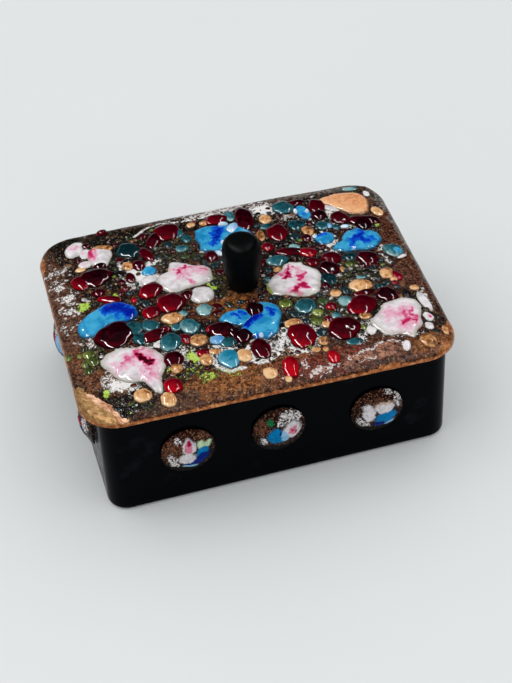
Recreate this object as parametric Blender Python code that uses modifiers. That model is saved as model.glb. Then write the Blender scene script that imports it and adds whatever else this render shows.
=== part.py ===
"""Small enamel box with a loose lid.

A black enamelled box, a shallow copper lid that lifts off, a turned black knob and
ten domed enamel discs. The lid carries lumps of glass fused into its top.
Lengths are metres, +Z is up, the front faces -Y, and the origin is on the underside.
"""

import math

import bmesh
import bpy
from mathutils import Matrix, Vector

MM = 0.001

# Clearance between pieces that touch
GAP = 0.3 * MM

# Box
BODY_LENGTH = 100.0 * MM
BODY_DEPTH = 77.6 * MM
BODY_HEIGHT = 35.0 * MM
BODY_CORNER = 5.8 * MM
BODY_WALL = 1.8 * MM
BODY_FLOOR = 1.8 * MM
FOOT_ROUNDING = 1.5 * MM
INSIDE_ROUNDING = 1.5 * MM
RIM_ROUNDING = 0.5 * MM

# Lid: a shallow dish turned over, with a rolled edge and a low crown
LID_THICKNESS = 1.2 * MM
LID_PLAY_LENGTH = 2.4 * MM
LID_PLAY_DEPTH = 1.6 * MM
LID_CORNER_EASE = 5.4 * MM
EDGE_ROLL = 2.0 * MM
EDGE_DROP = 2.5 * MM
CROWN_RISE = 2.0 * MM
TURN_SHARE = 0.9

# Glass lumps fused into the lid
LUMP_HEIGHT = 1.1 * MM
SMALL_LUMP_HEIGHT = 0.8 * MM
LUMP_ROOT = 0.7 * MM

# Knob: radii and heights of its turned side, above its foot
KNOB_FOOT_RADIUS = 4.1 * MM
KNOB_BELLY_RADIUS = 5.5 * MM
KNOB_BELLY_HEIGHT = 10.4 * MM
KNOB_HEIGHT = 17.0 * MM
KNOB_TOP_RADIUS = 4.9 * MM
KNOB_CREST = 1.0 * MM
KNOB_EDGE = 0.5 * MM
KNOB_SHIFT = 1.0 * MM

# Domed discs on the four walls
DISC_RADIUS = 7.7 * MM
DISC_RISE = 3.2 * MM
DISC_EDGE = 0.6 * MM
DISC_HEIGHT = 18.7 * MM
FRONT_DISC_INSET = 22.7 * MM
SIDE_DISC_INSET = 20.8 * MM
# How far each front disc, set by hand, is off its even place: along the wall and up
FRONT_DISC_OFFSETS = ((0.3 * MM, 0.0), (-0.9 * MM, 0.0), (0.5 * MM, -1.5 * MM))
EVEN = (0.0, 0.0)

# Facets
CORNER_STEPS = 6
ROUNDING_STEPS = 3
LONG_SIDE_STEPS = 6
SHORT_SIDE_STEPS = 4
ROLL_STEPS = 4
CROWN_STEPS = 4
TURNED_STEPS = 24
DISC_STEPS = 20
DISC_RINGS = 4
LUMP_FACET = 2.6 * MM
LUMP_FEWEST_SIDES = 9
LUMP_RINGS = 6

# Points closer than this to a height count as lying on it
LEVEL_MARGIN = 0.01 * MM

# The lid's outline follows the box inside it
LID_LENGTH = BODY_LENGTH + 2 * (LID_PLAY_LENGTH + LID_THICKNESS)
LID_DEPTH = BODY_DEPTH + 2 * (LID_PLAY_DEPTH + LID_THICKNESS)
LID_CORNER = BODY_CORNER + LID_CORNER_EASE
LID_TOP = BODY_HEIGHT + GAP + LID_THICKNESS
LID_RIM = LID_TOP - EDGE_DROP

# The lumps are laid out on a pattern of this size, stretched to the lid
PATTERN_LENGTH = 107.0
PATTERN_DEPTH = 83.0

# Each lump: place from the middle of the pattern, length, width, and turn in degrees
WHITE_LUMPS = (
    (-42.0, 32.5, 8.0, 5.5, 60),
    (-35.5, 26.0, 9.0, 8.0, 20),
    (-14.5, 10.0, 17.0, 12.5, -15),
    (-11.0, 0.5, 7.5, 6.5, 90),
    (16.0, -1.5, 16.0, 15.0, 25),
    (41.0, -25.0, 18.0, 14.5, 5),
    (-36.0, -21.0, 17.5, 14.5, -15),
    (-31.0, -31.0, 8.0, 5.0, -75),
)
BLUE_LUMPS = (
    (-42.5, -1.0, 11.0, 8.5, 35),
    (-35.0, 2.0, 10.5, 7.5, -10),
    (-2.0, 26.0, 11.5, 10.0, -60),
    (5.5, 26.0, 8.5, 6.0, -20),
    (-4.0, -12.5, 11.0, 7.0, -15),
    (2.5, -17.5, 11.0, 10.0, 60),
    (29.5, 14.5, 6.5, 6.0, 20),
    (38.0, 11.5, 16.0, 10.5, 5),
    (47.0, 4.0, 8.5, 6.0, -60),
    (-10.5, -27.0, 7.5, 6.0, 75),
)
RUBY_LUMPS = (
    (-40.0, 18.0, 11.5, 8.0, 5),
    (-24.5, 6.5, 7.0, 6.0, 30),
    (-38.5, -8.5, 11.5, 9.5, 30),
    (-20.0, -0.5, 8.5, 7.5, 0),
    (-14.5, 31.5, 9.5, 7.0, -20),
    (-24.0, 23.0, 8.0, 6.0, -60),
    (1.0, 34.0, 6.5, 5.0, 10),
    (9.0, 31.0, 11.0, 5.5, -75),
    (17.0, 21.0, 8.5, 6.0, -70),
    (31.0, 29.5, 9.0, 7.5, -60),
    (38.5, 23.5, 10.5, 5.5, -15),
    (27.5, 3.0, 8.0, 6.0, 50),
    (39.0, 2.5, 6.5, 6.0, 0),
    (-8.0, -17.5, 9.5, 7.5, -15),
    (11.0, -24.5, 9.0, 7.0, -75),
    (23.5, -25.0, 9.5, 8.5, 50),
    (32.0, -17.5, 10.5, 6.5, 40),
    (-25.0, -23.0, 6.0, 5.5, 0),
    (-1.0, -26.5, 7.5, 5.0, -80),
    (5.0, -35.0, 7.0, 4.0, 75),
    (-27.0, -33.0, 5.5, 5.0, 30),
)
TEAL_LUMPS = (
    (22.0, 33.5, 7.0, 6.0, 20),
    (13.5, 8.0, 6.0, 4.5, 0),
    (15.5, -14.0, 6.5, 6.0, 0),
    (-31.5, -9.0, 9.5, 6.0, -35),
    (-24.0, -16.5, 7.5, 6.0, 50),
    (-17.5, -11.5, 6.0, 5.0, -60),
)
PEACH_LUMPS = (
    (41.0, 30.0, 14.0, 10.5, -10),
    (34.5, -9.0, 6.5, 4.5, 0),
    (-21.5, -7.0, 6.0, 4.5, -15),
    (-36.0, -34.0, 5.0, 4.5, 0),
    (-29.5, -37.0, 4.5, 3.5, -70),
)


def clear_scene():
    for old in list(bpy.data.objects):
        bpy.data.objects.remove(old, do_unlink=True)


def make_collection(name):
    collection = bpy.data.collections.new(name)
    bpy.context.scene.collection.children.link(collection)
    return collection


def make_material(name, color, roughness, metallic=0.0):
    material = bpy.data.materials.new(name)
    material.use_nodes = True
    shader = material.node_tree.nodes["Principled BSDF"]
    shader.inputs["Base Color"].default_value = (*color, 1.0)
    shader.inputs["Roughness"].default_value = roughness
    shader.inputs["Metallic"].default_value = metallic
    return material


def add_object(name, mesh, collection, material=None):
    piece = bpy.data.objects.new(name, mesh)
    collection.objects.link(piece)
    if material is not None and not mesh.materials:
        mesh.materials.append(material)
    return piece


def finish_mesh(name, shape, smooth=False):
    """Write a bmesh out as a mesh with its faces pointing outwards."""
    mesh = bpy.data.meshes.new(name)
    bmesh.ops.recalc_face_normals(shape, faces=shape.faces)
    shape.to_mesh(mesh)
    shape.free()
    if smooth:
        mesh.shade_smooth()
        mesh.set_sharp_from_angle(angle=math.radians(35))
    return mesh


def make_cutter(piece):
    piece.hide_render = True
    piece.display_type = "WIRE"


def round_edges(shape, edges, radius, steps):
    bmesh.ops.bevel(
        shape, geom=edges, offset=radius, offset_type="OFFSET",
        segments=steps, profile=0.5, affect="EDGES",
    )


def level_edges(shape, height):
    """The edges that lie flat at one height."""
    return [e for e in shape.edges if all(abs(v.co.z - height) < LEVEL_MARGIN for v in e.verts)]


def rounded_block(name, low, high, corner, bottom, top=None):
    """A block with rounded upright edges and a rounded bottom edge, and a rounded top edge if asked."""
    size = Vector(high) - Vector(low)
    middle = (Vector(high) + Vector(low)) / 2
    shape = bmesh.new()
    bmesh.ops.create_cube(shape, size=1.0)
    bmesh.ops.scale(shape, vec=size, verts=shape.verts)
    upright = [e for e in shape.edges if abs(e.verts[0].co.z - e.verts[1].co.z) > size.z / 2]
    round_edges(shape, upright, corner, CORNER_STEPS)
    round_edges(shape, level_edges(shape, -size.z / 2), bottom, ROUNDING_STEPS)
    if top is not None:
        round_edges(shape, level_edges(shape, size.z / 2), top, ROUNDING_STEPS)
    bmesh.ops.translate(shape, vec=middle, verts=shape.verts)
    return finish_mesh(name, shape, smooth=True)


def make_body(pieces, cutters):
    """The open box: an outer block with the hollow cut from above."""
    half_length = BODY_LENGTH / 2
    half_depth = BODY_DEPTH / 2
    outer = rounded_block(
        "box_body", (-half_length, -half_depth, 0.0), (half_length, half_depth, BODY_HEIGHT),
        BODY_CORNER, FOOT_ROUNDING, RIM_ROUNDING,
    )
    inner_corner = max(BODY_CORNER - BODY_WALL, RIM_ROUNDING)
    hollow = rounded_block(
        "box_hollow",
        (BODY_WALL - half_length, BODY_WALL - half_depth, BODY_FLOOR),
        (half_length - BODY_WALL, half_depth - BODY_WALL, BODY_HEIGHT + BODY_FLOOR),
        inner_corner, min(INSIDE_ROUNDING, inner_corner * 0.8),
    )
    cutter = add_object("box_hollow", hollow, cutters)
    make_cutter(cutter)
    body = add_object("box_body", outer, pieces, make_material("black_enamel", (0.012, 0.013, 0.015), 0.18))
    cut = body.modifiers.new("hollow", "BOOLEAN")
    cut.operation = "DIFFERENCE"
    cut.object = cutter
    return body


def rounded_outline(half_x, half_y, radius):
    """Points counter-clockwise round a rectangle with rounded corners."""
    points = []
    corners = ((1, 1, 0), (-1, 1, 90), (-1, -1, 180), (1, -1, 270))
    for index, (sign_x, sign_y, start) in enumerate(corners):
        centre = Vector((sign_x * (half_x - radius), sign_y * (half_y - radius)))
        for step in range(CORNER_STEPS + 1):
            angle = math.radians(start + 90 * step / CORNER_STEPS)
            points.append(centre + radius * Vector((math.cos(angle), math.sin(angle))))
        after = corners[(index + 1) % 4]
        turned = math.radians(start + 90)
        begin = centre + radius * Vector((math.cos(turned), math.sin(turned)))
        next_centre = Vector((after[0] * (half_x - radius), after[1] * (half_y - radius)))
        end = next_centre + radius * Vector((math.cos(turned), math.sin(turned)))
        steps = LONG_SIDE_STEPS if index % 2 == 0 else SHORT_SIDE_STEPS
        points.extend(begin.lerp(end, step / steps) for step in range(1, steps))
    return points


def crown_height(x, y):
    """Height of the low crown over the flat of the lid's top."""
    across = 1 - min((2 * x / LID_LENGTH) ** 2, 1.0)
    along = 1 - min((2 * y / LID_DEPTH) ** 2, 1.0)
    return CROWN_RISE * across * along


def lid_rings():
    """Inset from the outline and height of each ring, from the rim inwards."""
    for step in range(ROLL_STEPS + 1):
        angle = math.radians(90 * step / ROLL_STEPS)
        yield EDGE_ROLL * (1 - math.cos(angle)), LID_RIM + EDGE_DROP * math.sin(angle)
    reach = LID_DEPTH / 2 - EDGE_ROLL
    for step in range(1, CROWN_STEPS):
        yield EDGE_ROLL + reach * step / CROWN_STEPS, LID_TOP


def lid_skin():
    """The open upper surface of the lid: rings joined by faces, closed over the middle."""
    shape = bmesh.new()
    rings = []
    for inset, height in lid_rings():
        radius = max(LID_CORNER - inset, RIM_ROUNDING)
        outline = rounded_outline(LID_LENGTH / 2 - inset, LID_DEPTH / 2 - inset, radius)
        rings.append([shape.verts.new((p.x, p.y, height + crown_height(p.x, p.y))) for p in outline])
    for lower, upper in zip(rings, rings[1:]):
        for index in range(len(lower)):
            after = (index + 1) % len(lower)
            shape.faces.new((lower[index], lower[after], upper[after], upper[index]))
    crown = shape.verts.new((0.0, 0.0, LID_TOP + CROWN_RISE))
    inner = rings[-1]
    for index in range(len(inner)):
        shape.faces.new((inner[index], inner[(index + 1) % len(inner)], crown))
    mesh = bpy.data.meshes.new("lid")
    shape.to_mesh(mesh)
    shape.free()
    mesh.shade_smooth()
    mesh.set_sharp_from_angle(angle=math.radians(35))
    return mesh


def lump_mesh(name, x, y, length, width, turn, height):
    """One flattened lump of glass, sunk in the lid by its root."""
    stretch_x = LID_LENGTH / PATTERN_LENGTH
    stretch_y = LID_DEPTH / PATTERN_DEPTH
    place = Vector((x * stretch_x, y * stretch_y, 0.0))
    shape = bmesh.new()
    around = math.pi / 2 * (length * stretch_x + width * stretch_y)
    sides = max(LUMP_FEWEST_SIDES, round(around / LUMP_FACET))
    bmesh.ops.create_uvsphere(shape, u_segments=sides, v_segments=LUMP_RINGS, radius=1.0)
    for vert in shape.verts:
        vert.co.z *= height if vert.co.z > 0 else LUMP_ROOT
    bmesh.ops.scale(shape, vec=(length / 2 * stretch_x, width / 2 * stretch_y, 1.0), verts=shape.verts)
    bmesh.ops.rotate(shape, matrix=Matrix.Rotation(math.radians(turn), 3, "Z"), verts=shape.verts)
    bmesh.ops.translate(shape, vec=place, verts=shape.verts)
    for vert in shape.verts:
        vert.co.z += LID_TOP + crown_height(vert.co.x, vert.co.y)
    return finish_mesh(name, shape, smooth=True)


def lid_turn():
    """The loose lid sits a little askew, within its play round the walls and corners."""
    ease = LID_CORNER - LID_THICKNESS - BODY_CORNER
    corner_play = ease - math.hypot(max(ease - LID_PLAY_LENGTH, 0.0), max(ease - LID_PLAY_DEPTH, 0.0))
    lever = BODY_LENGTH / 2 - BODY_CORNER
    return -math.atan2(TURN_SHARE * min(corner_play, LID_PLAY_DEPTH), lever)


def make_lid(pieces, lumps):
    """The lid: its skin thickened downwards, with the lumps fused on."""
    lid = add_object("lid", lid_skin(), pieces, make_material("copper_enamel", (0.23, 0.11, 0.06), 0.3))
    shell = lid.modifiers.new("thickness", "SOLIDIFY")
    shell.thickness = LID_THICKNESS
    shell.offset = -1.0
    shell.use_even_offset = True
    place = bpy.data.objects.new("lid_place", None)
    pieces.objects.link(place)
    place.rotation_euler.z = lid_turn()
    lid.parent = place
    kinds = (
        ("white", WHITE_LUMPS, LUMP_HEIGHT),
        ("blue", BLUE_LUMPS, LUMP_HEIGHT),
        ("ruby", RUBY_LUMPS, SMALL_LUMP_HEIGHT),
        ("teal", TEAL_LUMPS, SMALL_LUMP_HEIGHT),
        ("peach", PEACH_LUMPS, SMALL_LUMP_HEIGHT),
    )
    for kind, places, height in kinds:
        for number, (x, y, length, width, turn) in enumerate(places, start=1):
            name = f"{kind}_lump_{number}"
            mesh = lump_mesh(name, x, y, length, width, turn, height)
            lump = add_object(name, mesh, lumps)
            lump.parent = place
            make_cutter(lump)
    fuse = lid.modifiers.new("lumps", "BOOLEAN")
    fuse.operation = "UNION"
    fuse.operand_type = "COLLECTION"
    fuse.collection = lumps
    return place


def turned_mesh(name, profile):
    """An open profile in the XZ plane, from the axis at the top to the axis at the foot."""
    mesh = bpy.data.meshes.new(name)
    edges = [(index, index + 1) for index in range(len(profile) - 1)]
    mesh.from_pydata([(radius, 0.0, height) for radius, height in profile], edges, [])
    return mesh


def add_screw(piece, steps):
    screw = piece.modifiers.new("turned", "SCREW")
    screw.steps = steps
    screw.render_steps = steps
    screw.use_merge_vertices = True
    screw.merge_threshold = 0.00001
    screw.use_smooth_shade = True


def knob_profile():
    """A peg that swells from its foot to its belly and closes in a rounded, crowned top."""
    shoulder = KNOB_HEIGHT - KNOB_CREST
    points = [(0.0, KNOB_HEIGHT)]
    for step in range(1, 6):
        share = step / 5
        points.append((KNOB_TOP_RADIUS * share, shoulder + KNOB_CREST * math.sqrt(1 - share * share)))
    for step in range(1, 4):
        share = step / 3
        swell = math.sin(math.pi / 2 * share)
        radius = KNOB_TOP_RADIUS + (KNOB_BELLY_RADIUS - KNOB_TOP_RADIUS) * swell
        points.append((radius, shoulder + (KNOB_BELLY_HEIGHT - shoulder) * share))
    for step in range(1, 5):
        share = step / 4
        taper = 1 - math.cos(math.pi / 2 * share)
        radius = KNOB_BELLY_RADIUS + (KNOB_FOOT_RADIUS - KNOB_BELLY_RADIUS) * taper
        points.append((radius, KNOB_BELLY_HEIGHT + (KNOB_EDGE - KNOB_BELLY_HEIGHT) * share))
    points.append((KNOB_FOOT_RADIUS - KNOB_EDGE, 0.0))
    points.append((0.0, 0.0))
    return points


def make_knob(pieces, place):
    """The knob stands on the crown of the lid."""
    material = make_material("black_satin", (0.012, 0.014, 0.014), 0.45)
    knob = add_object("knob", turned_mesh("knob", knob_profile()), pieces, material)
    knob.parent = place
    knob.location = (KNOB_SHIFT, 0.0, LID_TOP + CROWN_RISE + GAP)
    add_screw(knob, TURNED_STEPS)


def disc_profile():
    """A thin upright edge under a shallow dome."""
    rise = DISC_RISE - DISC_EDGE
    sphere = (DISC_RADIUS ** 2 + rise ** 2) / (2 * rise)
    sweep = math.asin(min(DISC_RADIUS / sphere, 1.0))
    points = []
    for step in range(DISC_RINGS + 1):
        angle = sweep * step / DISC_RINGS
        points.append((sphere * math.sin(angle), DISC_RISE - sphere * (1 - math.cos(angle))))
    points.append((DISC_RADIUS, 0.0))
    points.append((0.0, 0.0))
    return points


def make_discs(pieces):
    """Three discs on each long wall and two on each short wall, all alike."""
    mesh = turned_mesh("disc", disc_profile())
    mesh.materials.append(make_material("disc_enamel", (0.20, 0.13, 0.09), 0.2))
    out_y = BODY_DEPTH / 2 + GAP
    out_x = BODY_LENGTH / 2 + GAP
    front_reach = BODY_LENGTH / 2 - FRONT_DISC_INSET
    side_reach = BODY_DEPTH / 2 - SIDE_DISC_INSET
    rows = (
        ("front", Vector((0, -out_y, 0)), Vector((1, 0, 0)), front_reach, (-1, 0, 1), FRONT_DISC_OFFSETS),
        ("back", Vector((0, out_y, 0)), Vector((-1, 0, 0)), front_reach, (-1, 0, 1), (EVEN,) * 3),
        ("left", Vector((-out_x, 0, 0)), Vector((0, -1, 0)), side_reach, (-1, 1), (EVEN,) * 2),
        ("right", Vector((out_x, 0, 0)), Vector((0, 1, 0)), side_reach, (-1, 1), (EVEN,) * 2),
    )
    for side, wall, along, reach, steps, offsets in rows:
        for number, (step, (shift, lift)) in enumerate(zip(steps, offsets), start=1):
            disc = add_object(f"disc_{side}_{number}", mesh, pieces)
            disc.location = wall + along * (reach * step + shift) + Vector((0, 0, DISC_HEIGHT + lift))
            disc.rotation_mode = "QUATERNION"
            disc.rotation_quaternion = wall.to_track_quat("Z", "Y")
            add_screw(disc, DISC_STEPS)


def main():
    clear_scene()
    pieces = make_collection("enamel_box")
    cutters = make_collection("cutters")
    lumps = make_collection("lid_lumps")
    make_body(pieces, cutters)
    place = make_lid(pieces, lumps)
    make_knob(pieces, place)
    make_discs(pieces)


main()
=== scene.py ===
"""The enamel box dressed for its picture: fused glass lid, black enamel box, knob and domed discs."""

import math
import random

import bpy
import numpy as np
from mathutils import Matrix, Vector, noise


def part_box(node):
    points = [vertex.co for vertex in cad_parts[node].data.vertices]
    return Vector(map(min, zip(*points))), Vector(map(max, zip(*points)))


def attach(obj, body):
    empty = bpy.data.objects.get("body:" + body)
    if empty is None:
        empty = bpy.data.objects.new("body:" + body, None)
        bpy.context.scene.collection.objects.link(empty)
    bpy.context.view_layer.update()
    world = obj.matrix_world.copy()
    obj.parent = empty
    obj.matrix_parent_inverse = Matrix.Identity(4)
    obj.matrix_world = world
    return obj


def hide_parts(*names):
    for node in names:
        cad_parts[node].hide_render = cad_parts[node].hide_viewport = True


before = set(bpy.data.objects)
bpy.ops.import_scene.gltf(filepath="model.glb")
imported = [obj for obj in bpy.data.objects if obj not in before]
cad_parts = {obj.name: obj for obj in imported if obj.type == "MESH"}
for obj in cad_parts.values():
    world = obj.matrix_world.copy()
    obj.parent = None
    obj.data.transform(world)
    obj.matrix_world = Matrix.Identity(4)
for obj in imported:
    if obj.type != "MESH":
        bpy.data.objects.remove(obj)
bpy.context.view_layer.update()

MM = 0.001

# Sizes, as in the CAD source, in millimetres
BODY_LENGTH, BODY_DEPTH, BODY_HEIGHT = 100.0, 77.6, 35.0
BODY_CORNER, BODY_WALL, BODY_FLOOR = 5.8, 1.8, 1.8
FOOT_ROUNDING, INSIDE_ROUNDING, RIM_ROUNDING, LIP_ROUNDING = 1.5, 1.5, 0.5, 0.4
GAP = 0.3
LID_THICKNESS = 1.2
LID_LENGTH, LID_DEPTH, LID_CORNER = 107.2, 83.2, 11.2
EDGE_ROLL, EDGE_DROP, CROWN_RISE = 2.0, 2.5, 2.0
SHOULDER, SHOULDER_REACH = 0.9, 9.0
BACK_SWELL = 0.55
LID_TOP = BODY_HEIGHT + GAP + LID_THICKNESS
LID_RIM = LID_TOP - EDGE_DROP
LID_TURN = math.radians(-1.2106)
KNOB_FOOT, KNOB_BELLY, KNOB_BELLY_HEIGHT = 4.1, 5.5, 10.4
KNOB_HEIGHT, KNOB_SQUARENESS, KNOB_EDGE, KNOB_SHIFT = 17.0, 4.2, 0.5, 1.0
DISC_RADIUS, DISC_RISE, DISC_EDGE = 7.7, 3.2, 0.6

# Camera: focal length in pixels of a 512 by 683 image, angles in degrees, lengths in millimetres
IMAGE = (512, 683)
FOCAL = 1664.43
AZIMUTH, ELEVATION, ROLL = -13.974, 41.898, -3.294
DISTANCE = 489.36
AIM = Vector((0, 0, 20))
AIM_PIXEL = (243.10, 334.89)
# What the lights face, in metres, and the brightness of the surroundings
PANEL_AIM = Vector((0, 0, 0.03))
ROOM_LIGHT = 0.97


def tone(red, green, blue):
    """A colour read as it looks on a screen, made linear."""
    channels = []
    for value in (red, green, blue):
        share = value / 255
        channels.append(share / 12.92 if share <= 0.04045 else ((share + 0.055) / 1.055) ** 2.4)
    return (*channels, 1.0)


# Camera, floor and light


def make_camera():
    """The fitted camera, placed so that AIM falls on AIM_PIXEL."""
    azimuth, elevation, roll = (math.radians(a) for a in (AZIMUTH, ELEVATION, ROLL))
    back = Vector((math.sin(azimuth) * math.cos(elevation), -math.cos(azimuth) * math.cos(elevation),
                   math.sin(elevation)))
    level = Vector((math.cos(azimuth), math.sin(azimuth), 0))
    upright = back.cross(level)
    right = math.cos(roll) * level + math.sin(roll) * upright
    up = -math.sin(roll) * level + math.cos(roll) * upright
    across = (AIM_PIXEL[0] - IMAGE[0] / 2) / FOCAL
    down = (AIM_PIXEL[1] - IMAGE[1] / 2) / FOCAL
    place = AIM - DISTANCE * (across * right - down * up - back)
    data = bpy.data.cameras.new("camera")
    data.sensor_width = 36.0
    data.lens = FOCAL * data.sensor_width / IMAGE[1]
    data.clip_start = 0.01
    data.clip_end = 20.0
    camera = bpy.data.objects.new("camera", data)
    bpy.context.scene.collection.objects.link(camera)
    axes = Matrix((right, up, back)).transposed()
    camera.matrix_world = Matrix.Translation(place * MM) @ axes.to_4x4()
    bpy.context.scene.camera = camera


def add_panel(name, place, size, radiance, glossy=True, diffuse=True):
    """A rectangular light of even brightness that faces the box.

    Its first side is level, and its second runs front to back.
    """
    data = bpy.data.lights.new(name, "AREA")
    data.shape = "RECTANGLE"
    data.size, data.size_y = size
    data.energy = radiance * math.pi * size[0] * size[1]
    lamp = bpy.data.objects.new(name, data)
    facing = (Vector(place) - PANEL_AIM).normalized()
    side = Vector((0, 1, 0)).cross(facing) if abs(facing.y) < 0.9 else Vector((1, 0, 0))
    side.normalize()
    axes = Matrix((side, facing.cross(side), facing)).transposed()
    lamp.matrix_world = Matrix.Translation(place) @ axes.to_4x4()
    lamp.visible_camera = False
    lamp.visible_glossy = glossy
    lamp.visible_diffuse = diffuse
    bpy.context.scene.collection.objects.link(lamp)


def make_light():
    """Two bright window strips and three soft panels in an evenly lit room."""
    world = bpy.data.worlds.new("studio")
    bpy.context.scene.world = world
    world.use_nodes = True
    sky = world.node_tree.nodes["Background"]
    sky.inputs["Color"].default_value = (1.0, 1.0, 1.0, 1.0)
    sky.inputs["Strength"].default_value = ROOM_LIGHT
    world.cycles_visibility.glossy = False
    add_panel("key", (-0.9, 0.1, 1.4), (1.2, 1.2), 0.75, glossy=False)
    add_panel("ceiling", (0, 0, 1.8), (3.4, 3.4), 0.06, diffuse=False)
    add_panel("back_wall", (0.1, 1.3, 0.16), (2.4, 0.3), 0.35, diffuse=False)
    add_panel("window_left", (-0.5, -0.1, 1.2), (0.07, 1.9), 80.0, diffuse=False)
    add_panel("window_right", (0.62, -0.16, 1.2), (0.06, 1.8), 34.0, diffuse=False)
    bpy.context.scene.view_settings.view_transform = "Standard"


# Material nodes


class Finish:
    """A procedural material on one Principled shader, with short calls for its nodes.

    Colours are red, green and blue as they look on a screen, from 0 to 255.
    """

    def __init__(self, name, roughness, specular, metallic=0.0):
        self.material = bpy.data.materials.new(name)
        self.material.use_nodes = True
        self.tree = self.material.node_tree
        self.shader = self.tree.nodes["Principled BSDF"].inputs
        self.shader["Roughness"].default_value = roughness
        self.shader["Specular IOR Level"].default_value = specular
        self.shader["Metallic"].default_value = metallic
        place = self.node("TexCoord").outputs["Object"]
        self.place = self.node("Mapping", Vector=place, Scale=(1 / MM, 1 / MM, 1 / MM)).outputs["Vector"]

    def put(self, socket, value):
        """Links a socket to another, or sets its value."""
        if isinstance(value, bpy.types.NodeSocket):
            self.tree.links.new(value, socket)
        else:
            socket.default_value = tone(*value) if socket.type == "RGBA" else value

    def node(self, kind, **inputs):
        node = self.tree.nodes.new("ShaderNode" + kind)
        for name, value in inputs.items():
            self.put(node.inputs[name], value)
        return node

    def noise(self, size, detail=3.0, roughness=0.55, stretch=None, turn=0.0):
        """Smooth noise with features about this many millimetres across, drawn out and turned if wished."""
        place = self.place
        if stretch:
            spin = (0.0, 0.0, math.radians(turn))
            bend = self.node("Mapping", Vector=place, Scale=stretch, Rotation=spin)
            bend.vector_type = "TEXTURE"
            place = bend.outputs["Vector"]
        node = self.node("TexNoise", Vector=place, Scale=1 / size, Detail=detail, Roughness=roughness)
        return node.outputs["Fac"]

    def cells(self, size):
        """Grains about this many millimetres across: a distance, and a random value for each."""
        node = self.node("TexVoronoi", Vector=self.place, Scale=1 / size)
        split = self.node("SeparateColor", Color=node.outputs["Color"])
        return node.outputs["Distance"], split.outputs["Red"]

    def painted(self, name, kind="Fac"):
        """A value or colour painted on the mesh."""
        node = self.node("Attribute")
        node.attribute_name = name
        return node.outputs[kind]

    def math(self, operation, *values, clamp=False):
        node = self.node("Math")
        node.operation = operation
        node.use_clamp = clamp
        for socket, value in zip(node.inputs, values):
            self.put(socket, value)
        return node.outputs["Value"]

    def add(self, first, second, clamp=False):
        return self.math("ADD", first, second, clamp=clamp)

    def times(self, first, second):
        return self.math("MULTIPLY", first, second)

    def weigh(self, base, value, weight):
        """The base plus a value times its weight."""
        return self.math("MULTIPLY_ADD", value, weight, base)

    def swing(self, value, reach):
        """A value from 0 to 1 spread over this reach, half of it below nought."""
        return self.weigh(-reach / 2, value, reach)

    def band(self, value, low, high, start=0.0, end=1.0):
        """Runs smoothly from start to end as the value goes from low to high."""
        node = self.node("MapRange", Value=value)
        node.interpolation_type = "SMOOTHSTEP"
        for name, number in (("From Min", low), ("From Max", high), ("To Min", start), ("To Max", end)):
            node.inputs[name].default_value = number
        return node.outputs["Result"]

    def mix(self, share, first, second):
        """From the first colour to the second as the share goes from 0 to 1."""
        node = self.node("Mix")
        node.data_type = "RGBA"
        colours = [s for s in node.inputs if s.type == "RGBA"]
        for socket, value in zip((node.inputs[0], *colours), (share, first, second)):
            self.put(socket, value)
        return next(s for s in node.outputs if s.type == "RGBA")

    def ramp(self, value, *stops):
        """A run of colours. Each stop is a position from 0 to 1 and its colour."""
        node = self.node("ValToRGB", Fac=value)
        points = node.color_ramp.elements
        while len(points) < len(stops):
            points.new(0.5)
        for point, (position, *colour) in zip(points, stops):
            point.position = position
            point.color = tone(*colour)
        return node.outputs["Color"]

    def bump(self, height, depth, strength):
        """Relief of this many millimetres."""
        node = self.node("Bump", Height=height, Strength=strength, Distance=depth * MM)
        self.put(self.shader["Normal"], node.outputs["Normal"])

    def color(self, value):
        self.put(self.shader["Base Color"], value)


def floor_finish():
    """Smooth pale floor."""
    finish = Finish("pale_floor", 0.55, 0.2)
    patch = finish.noise(180.0)
    finish.color(finish.ramp(patch, (0.3, 219.91, 223.95, 224.61), (0.7, 222.61, 226.59, 227.24)))
    finish.bump(finish.noise(0.6), 0.01, 0.2)
    return finish.material


def box_finish():
    """Black enamel: glossy, with faint ripples and a few dull smudges."""
    finish = Finish("black_enamel", 0.16, 0.025)
    smudge = finish.band(finish.noise(9.0, 6.0), 0.60, 0.74)
    finish.color(finish.mix(smudge, (1, 2, 4), (10, 15, 19)))
    finish.put(finish.shader["Roughness"], finish.band(finish.noise(3.0), 0.3, 0.8, 0.13, 0.3))
    finish.bump(finish.weigh(finish.noise(7.0, 2.0), finish.noise(0.7), 0.05), 0.12, 0.5)
    return finish.material


def knob_finish():
    """Turned knob in satin black."""
    finish = Finish("black_satin", 0.42, 0.04)
    finish.color(finish.mix(finish.noise(2.0), (1, 2, 2), (6, 10, 12)))
    finish.bump(finish.noise(0.5, stretch=(3.0, 3.0, 0.3)), 0.03, 0.4)
    return finish.material


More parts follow.
